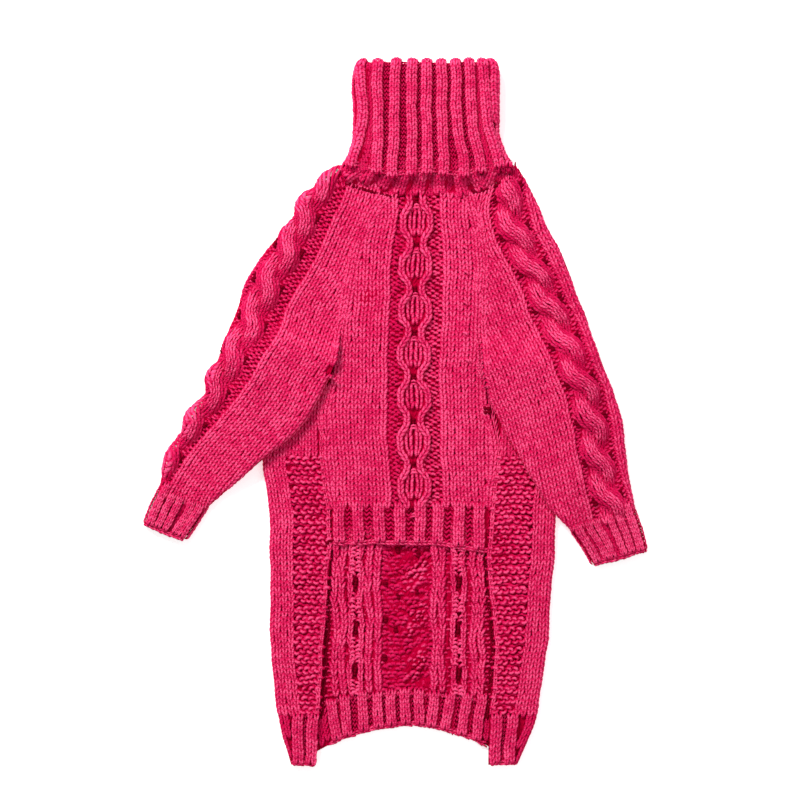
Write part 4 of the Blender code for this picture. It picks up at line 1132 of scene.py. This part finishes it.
# ---- sleeves
# Where each cable starts in its twist, and 1 where the strand that moves to the front lies over
Twist = namedtuple("Twist", "start way")
CABLE_TWIST = {"left": Twist(0.42, 1), "right": Twist(0.12, -1)}
CABLE_SWING = 4.5
CABLE_COLUMNS = (-6.0, -2.0, 2.0, 6.0)
CABLE_COURSE = 3.9


def lay_cable(yarn, side, sleeve):
    twist = CABLE_TWIST[side]

    def turn_of(strand, s):
        return math.pi * (s / CABLE_REPEAT + twist.start + strand)

    def middle_of(strand):
        def middle(s):
            swing = np.tanh(1.5 * np.cos(turn_of(strand, s))) / math.tanh(1.5)
            return -(sleeve.gutter(s) + CABLE_WIDTH / 2 + CABLE_SWING * swing)
        return middle

    def over_of(strand, s):
        over = np.sin(turn_of(strand, s)) * twist.way
        return np.sign(over) * np.abs(over) ** 0.8

    def height_of(strand):
        def height(u, s):
            near_end = smooth(0.4 + s / 6.0) * (0.6 + 0.4 * smooth((sleeve.end - s) / 6.0))
            return near_end * (2.7 + 3.1 * over_of(strand, s)) - 0.1 * u * u
        return height

    shape = knit_shape(wale=4.2, course=CABLE_COURSE, yarn=0.76)
    rows = np.arange(1.4, sleeve.end + 0.5, CABLE_COURSE)
    for strand in (0, 1):
        cord = ribbon(sleeve.surface, middle_of(strand), height_of(strand))
        for k, offset in enumerate(CABLE_COLUMNS):
            v = rows + 1.85 * (k % 2)
            # Painted light on the strands, and painted shade on the strand where it passes under and on the
            # outer columns
            low = 2.4 * np.minimum(over_of(strand, v), 0.0) - 0.045 * offset * offset
            yarn.lay(cord, shape, offset, v, along=-1.0, painted_light=0.5 + low)
    # Sunk loops in the darkest painted shade at both sides of each crossing
    s = CABLE_REPEAT * (np.arange(12) + 0.5 - twist.start)
    s = s[(s > 4.0) & (s < sleeve.end - 4.0)]
    for share in (0.03, 0.97):
        u = -(sleeve.gutter(s) + share * CABLE_WIDTH)
        v = np.concatenate([s - 2.2, s, s + 2.2])
        yarn.lay(sleeve.surface, HOLLOW, np.tile(u, 3), v, lift=0.5, painted_light=DEEPEST_SHADE)


def lay_sleeve(side):
    yarn = Yarn("sleeve_" + side + "_stitches")
    sleeve = Sleeve(side, SLEEVES[side])
    surface = sleeve.surface
    # Knit columns from the cable's gutter to the raglan or, below the underarm, round the seam's fold; the
    # first one raised and given painted light
    rows = np.arange(1.5 - COURSE, sleeve.end + 1.0, COURSE)
    order = np.arange(13)
    u, v = grid((order + 0.5) * SLEEVE_WALE, rows)
    first = np.repeat(order == 0, len(rows))
    inside = sleeve.reach("seam", v) - u
    keep = np.where(sleeve.closed(v) > 0.5, inside > -6.0, inside > 2.6)
    yarn.lay(surface, KNIT, u[keep], v[keep], across=0.93, along=-1.0, lift=0.6 * first[keep],
             painted_light=RAISED_LIGHT * first[keep])
    strip, length = over_plan(raglan(side)[::-1], lambda x, y: BODY_TOP + sleeve_lift(side, x, y))
    yarn.lay(strip, KNIT, -2.1 * INWARD[side], np.arange(1.0, length - 2.0, COURSE), across=0.92, lift=0.2)
    lay_cable(yarn, side, sleeve)
    # Purl in staggered columns, painted darker as shade: the gutter before the cable, under it, and between
    # it and the fold
    k, v = grid(np.arange(6), np.arange(2.0, sleeve.end, 3.5))
    v = v + 1.75 * (k % 2)
    u = -0.8 - 2.8 * k
    keep = u > -(sleeve.gutter(v) + 3.0)
    yarn.lay(surface, SMALL_PURL, u[keep], v[keep], painted_light=-0.8, jitter=2.2)
    u = 4.5 - 2.8 * k - (sleeve.gutter(v) + CABLE_WIDTH)
    keep = k < 4
    yarn.lay(surface, SMALL_PURL, u[keep], v[keep], painted_light=-0.8, jitter=2.2)
    v = np.arange(1.0, sleeve.end, 3.3)
    yarn.lay(surface, wave_shape(height=-0.6), -sleeve.gutter(v) - CABLE_WIDTH / 2, v, across=1.9, painted_light=-0.9)
    # Knit columns beyond the cable, round the fold
    v = np.arange(6.4, sleeve.end, COURSE)
    for k in range(4):
        u = -(sleeve.gutter(v) + CABLE_WIDTH) - 3.2 - (k + 0.5) * SLEEVE_WALE
        yarn.lay(surface, KNIT, u, v, across=0.93, along=-1.0)
    return yarn


def lay_cuff(side, stations, ribs):
    yarn = Yarn("cuff_" + side + "_stitches")
    cuff = Sleeve(side, stations)

    def across_at(share, s):
        return -cuff.reach("fold", s) + share * (cuff.reach("fold", s) + cuff.reach("seam", s))

    middles = []
    for k in range(-1, ribs + 1):
        share = (k + 0.5 + 0.13 * math.sin(2.3 * k + 0.8)) / ribs
        middles.append(float(across_at(share, cuff.end)))
        start = -7.0 if k < 1 else -1.5
        rib_columns(yarn, cuff.surface, lambda s, f=share: across_at(f, s), start, cuff.end - 1.5, wale=2.5,
                    course=3.2, knit_up=False, half=3.0, raise_by=2.0)
        # Purl between the ribs, painted dark as shade
        if k >= 0:
            v = np.arange(0.8, cuff.end - 1.0, 3.1)
            yarn.lay(cuff.surface, WAVE, across_at(k / ribs, v), v, across=0.4, painted_light=-1.8)
    # Low columns under the ribs and round both ends, painted darker as shade
    v = np.arange(1.0, cuff.end, COURSE)
    for share in np.linspace(-0.12, 1.08, 2 * ribs + 5):
        yarn.lay(cuff.surface, KNIT, across_at(share, v), v, across=0.75, along=-1.0, lift=-1.0, painted_light=SUNK_SHADE)
    chain(yarn, cuff.surface, lambda t: cuff.end - 1.8, middles[0], middles[-1],
          lift=lambda t: 1.1 * ridge_share(t, middles, 3.2))
    return yarn


# ---- collar
def collar_edge(x):
    """Height of the turned-down layer's free edge at x."""
    across = np.clip((x - 23.0) / 52.5, -1, 1)
    return 168.0 + 5.0 * np.abs(across) ** 2.5 + 1.2 * np.cos(across * 7.0)


# The ribs run straight on from this height, over the fold and down to the end on the other side
COLLAR_TOP = COLLAR_RIB_HEIGHTS[0]
COLLAR_LOW = 172.0
COLLAR_END = 250.0
COLLAR_COURSE = 3.05


def collar_rib_x(rib, y):
    return spline(COLLAR_RIB_HEIGHTS, rib, np.minimum(y, COLLAR_TOP))


def collar_flat(y):
    """Half the width of the turned-down layer's flat face."""
    return collar_ring("half", np.minimum(y, COLLAR_TOP)) - COLLAR_ROUND


def lay_turned_down(yarn):
    middles = []
    for k, rib in enumerate(COLLAR_RIBS):
        def middle(y, rib=rib):
            return collar_w(collar_rib_x(rib, y), np.minimum(y, COLLAR_TOP))
        low = float(collar_edge(rib.low))
        middles.append(float(middle(low)))
        rib_columns(yarn, COLLAR, middle, low + 1.2, COLLAR_END + 2.0, wale=3.95, course=COLLAR_COURSE,
                    knit_up=False, raise_by=2.4, bow=2.2)
        # Purl between the ribs, painted darker as shade
        if k:
            y = np.arange(low + 1.0, COLLAR_END, 3.0)
            x = (collar_rib_x(rib, y) + collar_rib_x(COLLAR_RIBS[k - 1], y)) / 2
            yarn.lay(COLLAR, THIN_WAVE, collar_w(x, np.minimum(y, COLLAR_TOP)), y, across=0.45, painted_light=SUNK_SHADE)
    # One more rib round each end of the tube
    for way in (-1, 1):
        def middle(y, way=way):
            return way * (collar_flat(y) + COLLAR_ROUND * 1.3 + 5)
        middles.append(float(middle(COLLAR_LOW + 2.0)))
        rib_columns(yarn, COLLAR, middle, COLLAR_LOW + 2.0, COLLAR_END, wale=4.1, course=COLLAR_COURSE,
                    knit_up=False)
    middle_x = collar_ring("middle", COLLAR_LOW)
    reach = collar_ring("half", COLLAR_LOW) - 1.5
    chain(yarn, COLLAR, lambda w: collar_edge(middle_x + w), -reach, reach,
          lift=lambda w: 2.3 * ridge_share(w, middles) - 0.8)
    # Low columns between the outermost ribs and the ends of the tube, painted darker as shade
    y = np.arange(COLLAR_LOW, COLLAR_END, COLLAR_COURSE)
    flat = collar_flat(y)
    for way in (-1, 1):
        for offset in (-10.0, -6.0, -2.0, 2.0, 6.0):
            yarn.lay(COLLAR, KNIT, way * (flat + offset), y, across=0.8, along=-0.85, lift=-0.9, painted_light=-1.4)


def neck_level(x, y):
    """Height of the neckband: it climbs over the body's top towards the turned-down layer."""
    return FOLD + LAYER * smooth((y - 158.0) / 9.0) + 0.15 + WALL


def neck_strip(line, more=8.0):
    low, high = np.array([line.x1, line.y1]), np.array([line.x0, line.y0])
    way = (high - low) / np.linalg.norm(high - low)
    return over_plan([low - way * 1.5, (low + high) / 2, high + way * more], neck_level)


def lay_collar():
    yarn = Yarn("collar_stitches")
    lay_turned_down(yarn)
    # The neckband's ribs, painted a little darker as shadow from the turned-down layer
    for line in NECK_RIBS:
        strip, length = neck_strip(line)
        rib_columns(yarn, strip, lambda v: 0.0, 0.5, length, wale=4.5, course=3.0, raise_by=1.8, painted_light=-0.5)
    # Purl between the neckband's ribs, painted darker as shade
    for first, second in zip(NECK_RIBS, NECK_RIBS[1:]):
        strip, length = neck_strip(Line(*[(a + b) / 2 for a, b in zip(first, second)]))
        yarn.lay(strip, THIN_WAVE, 0.0, np.arange(0.0, length, 3.0), across=0.55, painted_light=SUNK_SHADE)
    # Low stitches between the ribs and out to the shoulders, painted darker as shade, and sunk loops in the
    # darkest painted shade along the fold at the neckline
    level = Surface(lambda x, y: stack(x, y, neck_level(x, y) - 1.0), 1)
    x, y = grid(np.arange(-33.0, 80.0, 4.2), np.arange(150.0, 171.0, 3.0))
    keep = y > neckline(x) - 1.0
    yarn.lay(level, KNIT, x[keep], y[keep], across=0.85, along=0.9, painted_light=-1.2, twist=0.006 * (26.0 - x[keep]))
    x = np.concatenate([np.arange(-32.0, 2.0, 2.6), np.arange(56.0, 76.0, 2.6)])
    yarn.lay(level, HOLLOW, x, neckline(x) - 0.8, lift=1.5, painted_light=DEEPEST_SHADE, across=1.2)
    return yarn


def lay_all():
    """The yarn of every piece. The order matters, because all draw from one random series."""
    return {
        "belly": lay_belly(),
        "belly_hem": lay_belly_hem(),
        "back": lay_back(),
        "back_hem": lay_back_hem(),
        "sleeve_left": lay_sleeve("left"),
        "sleeve_right": lay_sleeve("right"),
        "cuff_left": lay_cuff("left", LEFT_CUFF, 5),
        "cuff_right": lay_cuff("right", RIGHT_CUFF, 6),
        "collar": lay_collar(),
    }


# Cut of each piece: width, length and flat area, in metres and square metres
Cut = namedtuple("Cut", "slot width length area")
CUTS = {
    "back": Cut("knit", 0.30, 0.37, 0.088),
    "back_hem": Cut("rib", 0.29, 0.035, 0.0073),
    "belly": Cut("knit", 0.122, 0.222, 0.0224),
    "belly_hem": Cut("rib", 0.113, 0.033, 0.0036),
    "sleeve_left": Cut("knit", 0.15, 0.26, 0.027),
    "sleeve_right": Cut("knit", 0.15, 0.27, 0.030),
    "cuff_left": Cut("rib", 0.073, 0.025, 0.0017),
    "cuff_right": Cut("rib", 0.09, 0.027, 0.0023),
    "collar": Cut("rib", 0.21, 0.17, 0.033),
}
for node, yarn in lay_all().items():
    cut = CUTS[node]
    cloth_piece = shell_of(node, RIB_DEPTH if cut.slot == "rib" else SHELL_DEPTH)
    stitches = yarn.finish(YARN_MATERIAL, cut.slot)


# ---- stage, light and camera
FLOOR_HALF = 3.0
# The camera looks straight down at a point a little off the garment's middle, as in the photograph
CAMERA_AT = (0.00335, 0.0096, 1.562)


def stage():
    mesh = bpy.data.meshes.new("floor")
    corners = [(x * FLOOR_HALF, y * FLOOR_HALF, 0) for x, y in ((-1, -1), (1, -1), (1, 1), (-1, 1))]
    mesh.from_pydata(corners, [], [(0, 1, 2, 3)])
    floor = linked("floor", mesh)
    material = bpy.data.materials.new("pale_floor")
    material.use_nodes = True
    shader = material.node_tree.nodes["Principled BSDF"]
    shader.inputs["Base Color"].default_value = (0.93, 0.93, 0.93, 1)
    shader.inputs["Roughness"].default_value = 0.9
    shader.inputs["Specular IOR Level"].default_value = 0.1
    shader.inputs["Emission Color"].default_value = (1, 1, 1, 1)
    shader.inputs["Emission Strength"].default_value = 0.5
    mesh.materials.append(material)


def lamp(name, place, size, power):
    data = bpy.data.lights.new(name, "AREA")
    data.shape = "DISK"
    data.size = size
    data.energy = power
    obj = linked(name, data)
    obj.location = place
    obj.rotation_euler = (-Vector(place)).to_track_quat("-Z", "Y").to_euler()


def light_and_camera():
    lamp("key", place=(-0.75, 1.35, 1.25), size=0.7, power=46.5)
    lamp("fill", place=(1.1, -0.9, 1.5), size=1.4, power=9)
    world = bpy.data.worlds.new("world")
    bpy.context.scene.world = world
    world.use_nodes = True
    world.node_tree.nodes["Background"].inputs["Color"].default_value = (1, 1, 1, 1)
    world.node_tree.nodes["Background"].inputs["Strength"].default_value = 0.46
    data = bpy.data.cameras.new("camera")
    data.lens = 100.0
    data.sensor_width = 36.0
    camera = linked("camera", data)
    camera.location = CAMERA_AT
    camera.rotation_euler = (0, 0, 0)
    bpy.context.scene.camera = camera
    bpy.context.scene.view_settings.view_transform = "Standard"


stage()
light_and_camera()
